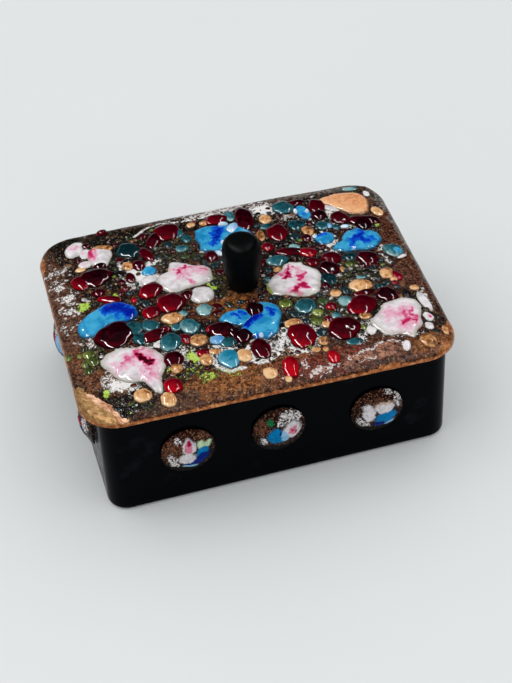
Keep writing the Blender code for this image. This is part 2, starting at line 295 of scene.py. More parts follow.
def ground_finish():
    """The lid's fired ground: crushed enamel grains, white frit, lime grains and some bare copper, with
    painted glints, painted highlight streaks and a painted grey reflection along the back and right edges.
    """
    finish = Finish("granular_enamel", 0.22, 0.18)
    light, dark = finish.painted("ground_light", "Color"), finish.painted("ground_dark", "Color")
    coarse = finish.noise(1.5, 4.0, 0.65)
    edge, grain = finish.cells(0.62)
    fine_edge, fine = finish.cells(0.3)
    share = finish.weigh(finish.weigh(finish.times(coarse, 0.9), grain, 0.55), fine, 0.35)
    ground = finish.mix(finish.band(share, 0.66, 1.16), dark, light)
    ground = finish.mix(finish.band(grain, 0.78, 0.95, 0.0, 0.75), ground, dark)
    # Painted glints: pale specks on the finest grains
    glint = finish.times(finish.band(fine, 0.86, 0.95), finish.band(coarse, 0.45, 0.6))
    ground = finish.mix(finish.times(glint, 0.4), ground, (200, 164, 124))
    # Pale frost grains, together with the painted highlight streaks
    frost_and_highlight = finish.weigh(finish.painted("frost_and_highlight"), grain, -0.9)
    ground = finish.mix(finish.band(frost_and_highlight, 0.0, 0.12, 0.0, 0.85), ground, (214, 208, 206))
    torn = finish.swing(finish.noise(1.1, 5.0, 0.65), 1.9)
    crumbs = finish.add(torn, finish.swing(fine, 0.6))
    powder = finish.add(finish.painted("snow"), crumbs)
    snow = finish.mix(finish.band(powder, 0.5, 0.9), (158, 152, 146), (238, 236, 234))
    ground = finish.mix(finish.band(powder, 0.42, 0.7, 0.0, 0.95), ground, snow)
    sprinkle = finish.add(finish.painted("lime"), crumbs)
    lime = finish.mix(finish.band(sprinkle, 0.5, 0.8), (84, 108, 34), (184, 214, 96))
    ground = finish.mix(finish.band(sprinkle, 0.44, 0.62, 0.0, 0.95), ground, lime)
    copper = finish.band(finish.weigh(finish.painted("copper"), torn, 0.45), 0.42, 0.58)
    brushed = finish.noise(0.9, 5.0, 0.65, stretch=(1.0, 3.0, 1.0), turn=24.0)
    metal = finish.ramp(brushed, (0.3, 96, 68, 36), (0.5, 150, 112, 66), (0.72, 196, 156, 104))
    ridge = finish.band(finish.weigh(finish.painted("ridge"), torn, 0.3), 0.3, 0.75)
    blush = finish.mix(finish.band(brushed, 0.35, 0.6), (160, 104, 66), (230, 184, 152))
    ground = finish.mix(copper, ground, finish.mix(ridge, metal, blush))
    filed = finish.band(finish.weigh(finish.painted("filed"), torn, 0.5), 0.4, 0.6)
    worn = finish.ramp(coarse, (0.34, 104, 54, 28), (0.5, 156, 92, 50), (0.68, 208, 146, 92))
    finish.color(finish.mix(filed, ground, worn))
    finish.put(finish.shader["Metallic"], finish.times(copper, 0.3))
    finish.put(finish.shader["Roughness"], finish.weigh(0.18, copper, 0.24))
    relief = finish.weigh(finish.weigh(finish.times(coarse, 0.7), edge, -0.6), fine_edge, -0.3)
    open_grain = finish.math("SUBTRACT", 1.0, finish.painted("glazed"))
    finish.bump(finish.times(relief, open_grain), 0.3, 0.45)
    return finish.material


def rim_finish():
    """Filed copper along the lid's edge."""
    finish = Finish("bare_copper", 0.38, 0.5, 0.7)
    streak = finish.noise(0.8, 4.0, stretch=(1.0, 1.0, 0.3))
    finish.color(finish.ramp(streak, (0.3, 96, 52, 28), (0.5, 160, 96, 52), (0.72, 214, 152, 96)))
    finish.bump(streak, 0.05, 0.6)
    return finish.material


def counter_finish():
    """Plain dark counter enamel under the lid."""
    finish = Finish("counter_enamel", 0.22, 0.4)
    grain = finish.cells(0.5)[1]
    share = finish.weigh(finish.times(finish.noise(5.0), 0.8), grain, 0.3)
    finish.color(finish.ramp(share, (0.3, 24, 20, 20), (0.6, 40, 32, 30), (0.8, 62, 46, 38)))
    finish.bump(finish.noise(1.6), 0.08, 0.5)
    return finish.material


def blush_finish():
    """Opaque white glass with crimson bled into it."""
    finish = Finish("blush_glass", 0.07, 0.4)
    milk = finish.mix(finish.band(finish.noise(2.5), 0.3, 0.6), (194, 188, 192), (230, 226, 228))
    veil = finish.swing(finish.noise(1.5, 4.0), 1.0)
    feather = finish.swing(finish.noise(0.55, 4.0, 0.7), 0.5)
    stain = finish.weigh(finish.weigh(finish.painted("accent"), veil, 0.75), feather, 0.7)
    stain = finish.times(stain, 0.7)
    pink = finish.ramp(stain, (0.06, 228, 216, 222), (0.2, 226, 184, 200), (0.36, 214, 122, 156),
                       (0.52, 200, 50, 104), (0.72, 164, 16, 62), (0.95, 60, 2, 14))
    body = finish.mix(finish.band(stain, 0.03, 0.18), milk, pink)
    border = finish.weigh(finish.painted("edge"), feather, 0.25)
    body = finish.mix(finish.band(border, 0.74, 0.95, 0.0, 0.6), body, (168, 164, 148))
    # Painted shade: a dark line at the very edge, where the lump meets the ground
    finish.color(finish.mix(finish.band(finish.painted("edge"), 0.95, 1.0, 0.0, 0.8), body, (52, 40, 34)))
    finish.bump(finish.noise(1.8), 0.12, 0.5)
    return finish.material


def blue_finish():
    """Opaque sky blue glass clouded with ultramarine."""
    finish = Finish("blue_glass", 0.06, 0.4)
    sky = finish.mix(finish.band(finish.noise(3.0), 0.35, 0.65), (26, 129, 184), (66, 167, 209))
    stain = finish.add(finish.painted("accent"), finish.swing(finish.noise(0.9, 4.0, 0.7), 1.3))
    deep = finish.ramp(stain, (0.25, 30, 128, 208), (0.6, 12, 84, 204), (1.0, 4, 28, 150))
    body = finish.mix(finish.band(stain, 0.22, 0.5), sky, deep)
    # Painted shade: darker towards the very edge and dark where the lump meets the ground
    body = finish.mix(finish.band(finish.painted("edge"), 0.84, 0.96, 0.0, 0.6), body, (20, 84, 130))
    finish.color(finish.mix(finish.band(finish.painted("edge"), 0.95, 1.0, 0.0, 0.8), body, (10, 30, 44)))
    finish.bump(finish.noise(1.6), 0.1, 0.5)
    return finish.material


def clear_finish(name, dark, middle, bright, edge, cloud):
    """Clear coloured glass with painted light: dark on one side and bright where light gathers, more or
    less clouded.
    """
    finish = Finish(name, 0.035, 0.4)
    lit_edge = finish.band(finish.painted("edge"), 0.6, 0.85, 0.0, 0.14)
    wave = finish.swing(finish.noise(1.3, 5.0, 0.6), cloud)
    glow = finish.add(finish.add(finish.painted("glow"), lit_edge), wave, clamp=True)
    body = finish.ramp(glow, (0.12, *dark), (0.5, *middle), (0.92, *bright))
    # Painted shade: the edge colour at the very edge, where the glass meets the ground
    finish.color(finish.mix(finish.band(finish.painted("edge"), 0.84, 0.98, 0.0, 0.9), body, edge))
    finish.bump(finish.noise(2.2), 0.08, 0.4)
    return finish.material


def grain_finish():
    """Loose chips of every colour; each carries its own."""
    finish = Finish("chip_glass", 0.08, 0.3)
    own = finish.painted("chip", "Color")
    finish.color(finish.mix(finish.band(finish.noise(0.6), 0.35, 0.75, 0.0, 0.45), own, (40, 28, 22)))
    finish.bump(finish.noise(0.4), 0.06, 0.6)
    return finish.material


def disc_finish():
    """Domed disc: the same grains and glass as the lid, on a small scale, with painted glints on its
    grains.
    """
    finish = Finish("disc_enamel", 0.12, 0.02)
    edge, grain = finish.cells(0.5)
    fine = finish.cells(0.28)[1]
    rough = finish.painted("grainy")
    smooth = finish.math("SUBTRACT", 1.0, rough)
    cloud = finish.times(finish.band(finish.noise(0.9, 4.0, 0.6), 0.42, 0.62), smooth)
    body = finish.mix(finish.times(cloud, 0.28), finish.painted("paint", "Color"), (14, 30, 44))
    pits = finish.times(finish.band(grain, 0.25, 0.7), rough)
    body = finish.mix(finish.times(pits, 0.85), body, (18, 10, 9))
    # Painted glints: pale specks on the grains, only where the disc is not painted in shade
    painted_glints = finish.times(finish.band(fine, 0.82, 0.92), finish.painted("lit"))
    body = finish.mix(finish.times(painted_glints, 0.4), body, (176, 132, 104))
    crumbs = finish.add(finish.swing(finish.noise(0.7, 5.0, 0.7), 2.0), finish.swing(fine, 0.5))
    powder = finish.add(finish.painted("frit"), crumbs)
    white = finish.mix(finish.band(powder, 0.5, 0.9), (132, 126, 124), (222, 218, 218))
    finish.color(finish.mix(finish.band(powder, 0.42, 0.66), body, white))
    finish.bump(finish.times(finish.times(edge, -1.0), rough), 0.2, 0.5)
    return finish.material


# Mesh helpers


def make_piece(name, points, faces, materials, stands_for, paints=None, slots=None, turn=0.0):
    """A smooth mesh piece on the box, from millimetres, with its painted values."""
    mesh = bpy.data.meshes.new(name)
    turned = np.asarray(points, float)
    if turn:
        c, s = math.cos(turn), math.sin(turn)
        turned = turned @ np.array(((c, s, 0.0), (-s, c, 0.0), (0.0, 0.0, 1.0)))
    mesh.from_pydata((turned * MM).tolist(), [], faces)
    for material in materials:
        mesh.materials.append(material)
    if slots is not None:
        mesh.polygons.foreach_set("material_index", slots)
    for paint, values in (paints or {}).items():
        values = np.asarray(values, float)
        if values.ndim == 2:
            layer = mesh.color_attributes.new(paint, "FLOAT_COLOR", "POINT")
            rgba = np.ones((len(values), 4))
            rgba[:, :3] = values[:, :3]
            layer.data.foreach_set("color", rgba.ravel())
        else:
            layer = mesh.attributes.new(paint, "FLOAT", "POINT")
            layer.data.foreach_set("value", values)
    mesh.shade_smooth()
    mesh.validate()
    piece = bpy.data.objects.new(name, mesh)
    bpy.context.scene.collection.objects.link(piece)
    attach(piece, "root")
    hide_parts(stands_for)


def rounded_ring(half_x, half_y, radius, corner, gaps):
    """Points counter-clockwise round a rectangle with rounded corners: steps for each corner, and for
    the sides along x and along y.
    """
    points = []
    corners = ((1, 1, 0), (-1, 1, 90), (-1, -1, 180), (1, -1, 270))
    for index, (sign_x, sign_y, start) in enumerate(corners):
        centre = np.array((sign_x * (half_x - radius), sign_y * (half_y - radius)))
        for step in range(corner + 1):
            angle = math.radians(start + 90 * step / corner)
            points.append(centre + radius * np.array((math.cos(angle), math.sin(angle))))
        after = corners[(index + 1) % 4]
        angle = math.radians(start + 90)
        tip = radius * np.array((math.cos(angle), math.sin(angle)))
        end = np.array((after[0] * (half_x - radius), after[1] * (half_y - radius))) + tip
        begin = centre + tip
        steps = gaps[index % 2]
        points.extend(begin + (end - begin) * step / steps for step in range(1, steps))
    return np.array(points)


def bridge(count, lower, upper):
    """Faces between two rings of as many points, given where each ring starts."""
    return [(lower + i, lower + (i + 1) % count, upper + (i + 1) % count, upper + i) for i in range(count)]


def stack(count, rings, start=0):
    """Faces between this many rings of points, one ring after another."""
    return [face for ring in range(rings - 1)
            for face in bridge(count, start + ring * count, start + (ring + 1) * count)]


def fan(count, ring, tip):
    """Faces between a ring and a single point."""
    return [(ring + i, ring + (i + 1) % count, tip) for i in range(count)]


def flipped(faces):
    """The same faces, turned to the other side."""
    return [tuple(reversed(face)) for face in faces]


def smooth_loop(corners, steps):
    """A closed smooth curve through given points."""
    corners = np.array(corners, float)
    loop = []
    for index in range(len(corners)):
        a, b, c, d = (corners[(index + shift) % len(corners)] for shift in (-1, 0, 1, 2))
        for step in range(steps):
            t = step / steps
            loop.append(0.5 * (2 * b + (c - a) * t + (2 * a - 5 * b + 4 * c - d) * t ** 2
                               + (3 * b - a - 3 * c + d) * t ** 3))
    return np.array(loop)


def rough(x, y, size, seed):
    """Smooth noise from about -1 to 1, with features of this many millimetres."""
    return noise.noise(Vector((x / size, y / size, seed)))


def bleed(x, y, seed):
    """How far colour has wandered in the melted glass, in millimetres."""
    return 1.5 * rough(x, y, 2.4, seed) + 0.9 * rough(x, y, 0.9, seed + 4.0)


def crown(x, y):
    """Height of the hand-raised lid over its flat: a low crown that is fuller at the back."""
    across = 1 - np.minimum((2 * x / LID_LENGTH) ** 2, 1.0)
    along = 1 - np.minimum((2 * y / LID_DEPTH) ** 2, 1.0)
    inset = np.minimum(LID_LENGTH / 2 - np.abs(x), LID_DEPTH / 2 - np.abs(y))
    shoulder = SHOULDER * np.clip(1 - inset / SHOULDER_REACH, 0, 1) ** 2
    swell = BACK_SWELL * np.clip((y - 28) / 10, 0, 1) * np.clip(1 - ((x + 8) / 44) ** 4, 0, 1)
    return CROWN_RISE * across * along - shoulder + swell


# What lies where on the lid, in millimetres from its middle. Colours are red, green and blue as they
# look on a screen, from 0 to 255.

# Large lumps of glass: kind, height, outline, and strokes of deeper colour. Each stroke has a width,
# a strength, and points along it.
SLABS = (
    ("blush", 1.1,
     ((-17, 17.5), (-18.2, 13.8), (-21.5, 12), (-23, 9), (-21.5, 5.5), (-18.5, 3.2), (-14, 3.8), (-10, 4.2),
      (-6.6, 5.6), (-6, 10), (-6.8, 12.2), (-10, 13.8), (-13.5, 16.2)),
     ((0.9, 1.0, ((-15.7, 11.3), (-15.2, 12.2))), (0.6, 0.95, ((-14, 12), (-12.2, 12.8))),
      (0.5, 0.85, ((-8.6, 11), (-7.5, 9.6))), (0.9, 0.5, ((-13.6, 8.8), (-13.2, 6), (-12.4, 5))),
      (3.0, 0.36, ((-15, 10.4), (-11, 12), (-8.4, 10.4))))),
    ("blush", 1.0,
     ((-13, 3.2), (-9.2, 3), (-7.6, 0.2), (-8.8, -3), (-12.5, -3.7), (-14.8, -1.4), (-13.9, 1.2)), ()),
    ("blush", 1.2,
     ((15, 6.2), (19.6, 5.9), (20.2, 4), (22, 2.4), (23.6, 0.4), (23.8, -2), (22.4, -6.4), (20.4, -9.2),
      (16, -9.7), (12, -8), (8.4, -6.4), (7.2, -3), (8.4, -0.4), (11, 2), (13.4, 4)),
     ((0.7, 1.15, ((13.6, -0.8), (15, 1.2), (16.4, 3.6))), (1.3, 0.6, ((12.2, 1), (14.4, 2.2))),
      (2.0, 0.36, ((17, 2), (18.4, 0.6), (17.4, -1.4))),
      (0.9, 0.85, ((19.4, -0.6), (18, -1.8), (16.8, -1.2))), (0.7, 0.9, ((17.6, -1.8), (16.6, -3.2))),
      (0.8, 1.05, ((18.2, -6.6), (17.2, -5), (15.8, -6.4), (13.4, -7.8))),
      (0.8, 0.7, ((14.4, -8.6), (15.6, -8.2))), (1.7, 0.34, ((18, -4.6), (15.4, -6), (12.6, -7.4))))),
    ("blush", 1.2,
     ((30.8, -25), (33, -22.6), (35.2, -20.8), (36.2, -18.6), (39.6, -17.7), (43.4, -17.2), (46, -18.6),
      (47.4, -21.4), (46.6, -24), (45.6, -26.6), (45, -29.6), (43.2, -31.4), (41, -33.8), (38.4, -32.2),
      (34.2, -31.2), (32.2, -28.6)),
     ((0.8, 0.72, ((43.6, -22.6), (43.2, -24.6), (44, -27), (43.2, -29.2))),
      (1.0, 0.74, ((41.2, -24), (41.2, -26.4))), (1.1, 0.95, ((40.4, -27.8), (42, -27), (43.4, -28.2))),
      (3.2, 0.38, ((38, -24), (41.6, -23.6), (43, -28), (39.4, -29))))),
    ("blush", 1.2,
     ((-40.1, -14), (-36.4, -14.6), (-32, -15.6), (-29.1, -17.9), (-27, -21.3), (-27.6, -25.6),
      (-29.3, -29), (-29.9, -33.3), (-30.9, -35), (-32.2, -34.4), (-33.5, -31.6), (-35.2, -29),
      (-38.7, -28.3), (-41.6, -25.4), (-42.6, -23), (-44.5, -19.6), (-43.7, -16.4)),
     ((1.1, 2.2, ((-33.6, -19.6), (-33, -21.6), (-31.6, -23))),
      (0.9, 0.62, ((-39, -20.6), (-36, -20), (-33.6, -18.2))), (0.9, 0.7, ((-33.6, -18.6), (-32.3, -15.8))),
      (1.1, 0.55, ((-32.8, -24), (-32.3, -27.4))),
      (3.4, 0.36, ((-39, -22), (-34, -20), (-32, -17), (-31, -22), (-32, -28))),
      (1.2, 0.15, ((-42, -17), (-41, -17.4))))),
    ("blush", 1.0,
     ((-39.4, 30.8), (-36.5, 31.8), (-33.2, 30.4), (-31.8, 28.4), (-33, 25), (-35, 22.4), (-38.4, 23.4),
      (-39.4, 27)),
     ((1.6, 0.75, ((-38.8, 27.5), (-37.6, 30.6))), (1.2, 0.9, ((-37.2, 31), (-38.6, 28.6))))),
    ("blue", 1.2,
     ((-39.9, 4.8), (-37, 5.5), (-34.4, 5), (-32, 3.4), (-30.4, 1), (-30.2, -1.7), (-32, -3.8), (-36.4, -4),
      (-40, -4.6), (-42.2, -6.2), (-44.4, -7.1), (-46.6, -6.6), (-48, -4.4), (-48.1, -2.2), (-46.6, 0.6),
      (-43.6, 3)),
     ((2.7, 1.15, ((-37.6, 3), (-35, 1.6), (-33, 0.2), (-32.6, -2))),
      (1.6, 0.55, ((-40, 2.6), (-36, -1.6))))),
    ("blue", 1.2,
     ((-5.8, 30.6), (-2.4, 31.3), (1.7, 30.6), (4.8, 29.6), (7.9, 27.6), (9.8, 24.4), (9, 20.5), (5, 19),
      (1, 18.6), (-2.4, 17.6), (-5.4, 18.6), (-7, 20.2), (-6.6, 23), (-7.2, 26), (-6.6, 28.8)),
     ((1.5, 0.95, ((0.8, 29.2), (0.2, 26), (-1.2, 23.4))), (1.2, 0.8, ((-1.4, 24), (-2.8, 21))),
      (1.0, 0.6, ((-2.6, 27), (-0.6, 25))))),
    ("blue", 0.9,
     ((26.7, 14.6), (27.6, 16.4), (29.4, 17.4), (31.4, 17.4), (32.8, 16), (32.4, 13.8), (30.2, 11.7),
      (27.9, 12.2)),
     ((1.1, 0.7, ((28.4, 16), (30, 16.4))),)),
    ("blue", 1.2,
     ((34.8, 13.8), (36.4, 15.8), (38.4, 16.6), (40.5, 17), (41.6, 15.6), (43.6, 15), (45.5, 13.8),
      (46.1, 11.4), (45.3, 9), (43.6, 7.2), (40.8, 5.9), (37.5, 6.5), (34.2, 6.6), (31.8, 7.6), (30.5, 9),
      (31.8, 10.8), (33.8, 11.8)),
     ((1.4, 0.95, ((37.4, 11), (39.4, 12.8), (41, 13.8))),
      (1.3, 0.9, ((39.4, 12.6), (40.4, 10.6), (41.3, 8.6))), (1.1, 0.8, ((37.4, 10.8), (36.3, 8))),
      (1.1, 0.6, ((43, 11), (43.6, 9))))),
    ("blue", 1.2,
     ((-9.4, -12), (-7, -10), (-4.5, -9.6), (-1.6, -9.8), (0.4, -11.6), (0, -14.8), (-2.8, -16.4),
      (-5.5, -15.6), (-8, -14)),
     ((1.0, 0.8, ((-5, -11.2), (-4.4, -13))), (0.8, 0.9, ((-2.8, -11.6), (-2.4, -12.4))))),
    ("blue", 1.2,
     ((1, -9.6), (2.5, -8.1), (5.4, -8.5), (7.6, -10.5), (8.5, -13.8), (7.6, -16.7), (6.4, -19.2), (5, -22),
      (2.5, -23.4), (-0.6, -22.8), (-3, -20.8), (-4.4, -18.4), (-3.4, -15.8), (-0.8, -13.8), (0.4, -12)),
     ((1.2, 1.0, ((5, -12.8), (5.6, -14.4))), (1.3, 1.2, ((-3, -17.2), (-1, -15.8), (1.6, -14))),
      (0.9, 0.6, ((-1.6, -20.6), (-0.6, -22))))),
    ("aqua", 1.0,
     ((-13.6, -27.4), (-12.6, -25), (-10, -24.2), (-7.8, -25.4), (-7.5, -28.4), (-8.6, -31.2), (-11, -31.4),
      (-13, -29.6)),
     ()),
    ("blue", 0.9,
     ((-25.7, 15.2), (-24.4, 17.4), (-22.6, 17.7), (-21.3, 15.8), (-21.9, 13.9), (-24.2, 13.5)), ()),
    ("blue", 0.9,
     ((25.2, 30.6), (26.2, 32.8), (28, 32.4), (29.2, 29.6), (29, 26.4), (27, 25.4), (25.6, 27.8)),
     ((1.6, 0.35, ((27, 31), (27.6, 27))),)),
    ("apricot", 1.2,
     ((32.6, 33.8), (36, 35.2), (39.6, 35.9), (43.8, 35.2), (46.8, 33.6), (47.9, 30), (47.4, 26.2),
      (46.2, 23.6), (43.8, 22.9), (41.2, 23.8), (39.2, 25.6), (37.2, 28), (34.8, 30.6), (33, 32.4)),
     ()),
)
# Rounder beads: x, y, length, width, turn in degrees, how brightly light gathers in each,
# and a height for those that lie on a slab
RUBY_BEADS = (
    (-43.6, 17, 4.8, 6.8, 20, 0.5), (-39, 18.2, 9.5, 8.2, 5, 0.16), (-24.8, 6.6, 7.6, 6, 30, 0.45),
    (-38.6, -8.4, 11.2, 9.6, 30, 0.14), (-20.2, -0.4, 8.6, 7.6, 0, 0.42), (-15.4, 1.4, 3.4, 4, 0, 0.25),
    (-26.6, -2.6, 5.2, 5, 0, 0.5), (-36.8, 7, 7, 3, -20, 0.5), (-28, -12.4, 7.2, 4.6, 10, 0.3),
    (-24.2, -11, 3, 2.2, 0, 0.4), (-14.4, 32.6, 7.4, 8, -20, 0.34), (-19, 29.6, 4, 7.4, -20, 0.22),
    (1.2, 33.8, 6.6, 5, 10, 0.4), (9.4, 31.5, 5.4, 12.6, -4, 0.18), (17, 21.4, 6, 8.4, -8, 0.4),
    (12.4, 15.4, 3.6, 4.2, 0, 0.5), (18, 11.4, 8.4, 3.6, -14, 0.25), (23, 9.4, 5, 4.4, -25, 0.65),
    (28.8, 4.8, 5.6, 5.8, 0, 0.34), (26.8, 0.6, 5.6, 6.4, 10, 0.14), (39, 2.4, 6.2, 6, 0, 0.2),
    (23, 4.7, 3.8, 3.8, 0, 0.36), (32, 31, 5, 7.4, -10, 0.3), (31.4, 26.6, 4.6, 4.6, 0, 0.12),
    (37, 23.4, 5.2, 6.6, 10, 0.26), (43.6, 20.4, 9, 4.2, -8, 0.16), (-0.8, -26.6, 5, 7.4, 0, 0.26),
    (11.4, -24.8, 7.2, 9, 4, 0.5), (23.4, -25.2, 9, 8.6, 50, 0.26), (31, -17.4, 8.8, 7.2, 38, 0.42),
    (39.2, -14.6, 6.2, 6.2, 0, 0.12), (5, -35.4, 4.5, 7, -10, 0.9), (17.4, -35, 3.4, 4.4, 0, 0.9),
    (-27.4, -33, 5.2, 5.2, 0, 0.7), (1.5, -11.3, 5.4, 5.8, 0, 0.06, 2.1), (43, 18.6, 4.6, 5.4, 0, 0.0),
    (-6.2, -18.4, 4.4, 3.6, -30, 0.0), (-9.2, -16.2, 8.2, 5.6, -14, 0.16), (-12.2, -15.4, 3, 3.6, 0, 0.6),
    (-4.4, -20.4, 5.6, 5, 0, 0.1), (-25, -23.2, 5.6, 5.4, 0, 0.2), (-16.4, -23.4, 3.8, 2.8, 10, 0.55),
    (-19.8, -16.6, 2.8, 4, 10, 0.5), (-4.4, 16.6, 3.6, 5.2, 0, 0.25), (-29.2, 14.4, 2.8, 5, 0, 0.25),
    (-32, 13.4, 2, 3, 0, 0.25), (-25.8, 19.4, 4, 5, 10, 0.25), (-22.4, 23.8, 3.2, 7.6, 12, 0.34),
    (44.8, -7.4, 2.8, 4.4, 10, 0.6), (43.2, -10.4, 2.2, 2, 0, 0.5), (22.6, -15.6, 3.2, 3, 0, 0.5),
    (-39.4, 11, 4, 3.4, 0, 0.25), (-31.6, 10, 2.4, 2.2, 0, 0.4), (-30.3, 4.2, 1.8, 2.4, 0, 0.8),
    (20.4, -20.6, 2.4, 3, 0, 0.4), (33.4, -12.4, 6.4, 2.4, 4, 0.3), (40.6, -12, 2, 1.6, 0, 0.7),
    (38.6, -0.2, 3, 2, 0, 0.25), (25.8, 34.6, 7, 3, 6, 0.25), (-5.4, 34.6, 2, 1.6, 0, 0.4),
    (24.6, 16.4, 3, 4, 0, 0.2), (-36.4, 23.2, 4, 2.8, 0, 0.12), (-33, 38.6, 3.2, 2.4, 0, 0.3, 1.7),
    (23.6, -6.6, 2.6, 3, 0, 0.2), (36.5, -0.6, 2.2, 2.4, 0, 0.2), (-38.8, 33.8, 2.6, 2.6, 0, 0.2),
    (-24.5, 28.2, 3, 2.4, 0, 0.2), (46.4, 19.2, 4, 2.6, -20, 0.15),
)
TEAL_BEADS = (
    (22, 33.4, 6.2, 6.6, 0, 0.35), (13.4, 8.2, 5.8, 5.2, 0, 0.45), (15.6, -13.6, 6.2, 6, 0, 0.36),
    (27, -14.6, 4.2, 4, 0, 0.8), (-33, -7.6, 6, 5.6, -30, 0.3), (-28, -8, 5, 4.4, -40, 0.4),
    (-24.2, -16.4, 5.6, 7.2, -20, 0.4), (-17.6, -12, 5, 6.4, 12, 0.6), (-12.1, -6.7, 4.2, 5, 0, 0.9),
    (5.4, 34.4, 3.2, 5.4, 0, 0.55), (-11.4, 31, 3.2, 4.4, 0, 0.4), (-9.4, 27.4, 3, 4, 0, 0.3),
    (-27, 27.6, 6.8, 7, 0, 0.05), (-11.8, 23, 4, 3.4, 0, 0.45), (25.4, -4, 4.2, 5.4, 0, 0.12),
    (-21.4, -11.2, 3, 2.8, 0, 0.5), (-18.4, -6.2, 2.8, 2.6, 0, 0.8), (15, 25.6, 4, 3, 0, 0.3),
    (23.6, 23.6, 5, 5, 0, 0.2), (31, 21, 4.4, 4, 0, 0.3), (34.6, 19.2, 2.4, 3, 0, 0.3),
    (-9, -21.4, 5, 3.4, 0, 0.35), (-12, -19.4, 3.6, 2.8, 0, 0.85), (34.4, 4.4, 4, 3.4, 0, 0.12),
    (21.4, -0.4, 2, 3, 0, 0.3), (-31.4, -12.4, 5, 4.4, 0, 0.25), (24.8, -31, 4.6, 2.6, 0, 0.35),
    (39, -11, 3, 2.4, 0, 0.2), (22.8, -19.8, 2.6, 3, 0, 0.55), (8.4, 0.8, 1.6, 2.2, 0, 0.5),
    (47.6, 4.4, 6.4, 5.6, -42, 0.5), (20, 13.2, 3.6, 2.2, -30, 0.95), (34.8, -5.6, 3.4, 1.4, 0, 0.6),
    (44.4, 37.4, 5, 2.2, -12, 0.95),
)
PEACH_BEADS = (
    (33.4, -9.2, 6.8, 5, 0, 0.6), (42.2, -5.8, 4.2, 4.8, -10, 0.55), (25.4, -10.6, 3.4, 3, 0, 0.6),
    (-21.6, -7.2, 5.8, 4.6, -10, 0.6), (10.2, -19.4, 5, 3.4, 0, 0.6), (19.2, -22.4, 2.6, 2.8, 0, 0.5),
    (30.6, -22, 3.6, 2.6, 0, 0.35), (-16.6, -18.4, 5, 4.6, 0, 0.45), (-16.4, -26.2, 3.6, 4.6, 0, 0.45),
    (-6, -27.8, 4, 4.8, 10, 0.8), (-24.8, -27, 3.4, 3.6, 0, 0.4), (-36, -34, 5, 4.8, 0, 0.6),
    (-29.6, -37.4, 4.2, 5, 0, 0.7), (-0.9, -36, 4, 4, 20, 0.95), (15.4, 29.2, 3.8, 4.6, 0, 0.65),
    (-28.8, 20, 3.6, 4, 0, 0.4), (49, 23.8, 3.2, 4.6, 10, 0.75), (44.4, -36, 4.6, 5.4, 0, 0.3),
    (48, -13.6, 2.8, 2.2, 0, 0.7), (-34.4, 31, 6, 3.2, -14, 0.35), (26, 19.8, 3.6, 5, 0, 0.35),
    (12, 21.6, 2.4, 5.4, -4, 0.3), (-42.4, 23.4, 3, 2, 0, 0.85), (16.4, -28.4, 3, 3.4, 0, 0.3),
    (3.4, -39, 1.8, 2.2, 0, 0.9), (-6.6, 33.6, 2.8, 2.4, 0, 0.5), (-2.8, 33.2, 2.6, 2.8, 0, 0.4),
    (50.4, -33, 1.8, 4, 0, 0.5), (12.6, 4.2, 3.2, 2, 20, 0.4), (30.4, -0.6, 1.2, 2.6, 0, 0.3),
    (43.6, -8.8, 2.4, 1.8, 0, 0.6), (13.6, -31, 2.4, 2, 0, 0.5), (16.2, -31.6, 1.8, 1.8, 0, 0.5),
    (-13.6, -23.8, 4, 2, -14, 0.5), (-28.6, -25, 2, 2, 0, 0.5),
)
GREEN_BEADS = (
    (-46.8, -13.6, 3.4, 3.2, 0, 0.55), (-46.2, -16.6, 3.2, 4, 20, 0.3), (-48.6, -16.8, 1.8, 3, -10, 0.5),
    (-48, -19.8, 2.6, 3, 0, 0.3), (-52.4, -12, 1.8, 2.6, 0, 0.5), (10.6, -11, 3.8, 3.6, 0, 0.5),
    (18.2, -17, 3.2, 3, 30, 0.75), (16.8, -20.2, 3.2, 3.8, 0, 0.45), (-49.4, -13, 1.4, 1.8, 0, 0.6),
    (8, -3.6, 1.8, 5.4, 6, 0.95), (33.4, 1, 3.2, 2.8, 0, 0.35), (28.6, -26, 2, 2.4, 0, 0.6),
    (45.9, -23.2, 1.4, 2.6, 0, 0.3),
)
BLUSH_BEADS = (
    (-42.4, 33.4, 7.4, 4.8, 62, 0.42), (-39.8, 30.2, 4.8, 3, 66, 0.34), (-40.6, 25.3, 4, 3.3, 0, 0.3),
    (48.8, -20, 2.6, 8.4, 10, 0.0), (47.6, -26.6, 2.6, 3.8, 14, 0.9), (36, 29, 2.4, 6, 48, 0.0),
    (-33.4, -6, 3, 2.4, 20, 0.1), (37.8, -30.2, 1.6, 2.2, 0, 0.0), (38, -36.2, 2.2, 3.8, -20, 0.0),
    (46.6, -30.4, 2.4, 3, 10, 0.0), (30.6, -28, 3, 3.2, 0, 0.0), (-24.4, 11.6, 5, 4, 20, 0.0),
    (49.2, 1.2, 3.6, 1.4, 24, 0.0), (48.6, 33.4, 2, 3, 0, 0.0),
)
ICE_BEADS = (
    (4.6, 27.4, 3.4, 6, -30, 0.7, 1.7), (2.4, 22.4, 2, 4.4, -10, 0.5, 1.7), (-2, 17.2, 1.8, 3.4, 20, 0.8),
    (2.6, 30.2, 3, 1.3, -10, 0.9, 1.7), (0.2, 21, 1.4, 2.4, 0, 0.8, 1.7),
    (25, 29.8, 1.3, 2.2, 0, 0.95, 1.6), (28.3, 28.8, 1.2, 1.3, 0, 0.95, 1.7),
    (27.2, 16.2, 1.6, 1.5, 0, 0.9), (-11.6, -19.8, 4.2, 3.4, 0, 0.24), (7.6, 24.8, 2.4, 4.2, 30, 0.4),
    (6.2, -16.4, 1.2, 3.4, -14, 0.5), (32.6, 20.4, 2.2, 2.4, 0, 0.4), (0.4, -22, 1.4, 1.6, 0, 0.7, 1.6),
    (37.2, 18.8, 2.6, 1.8, 0, 0.9),
)
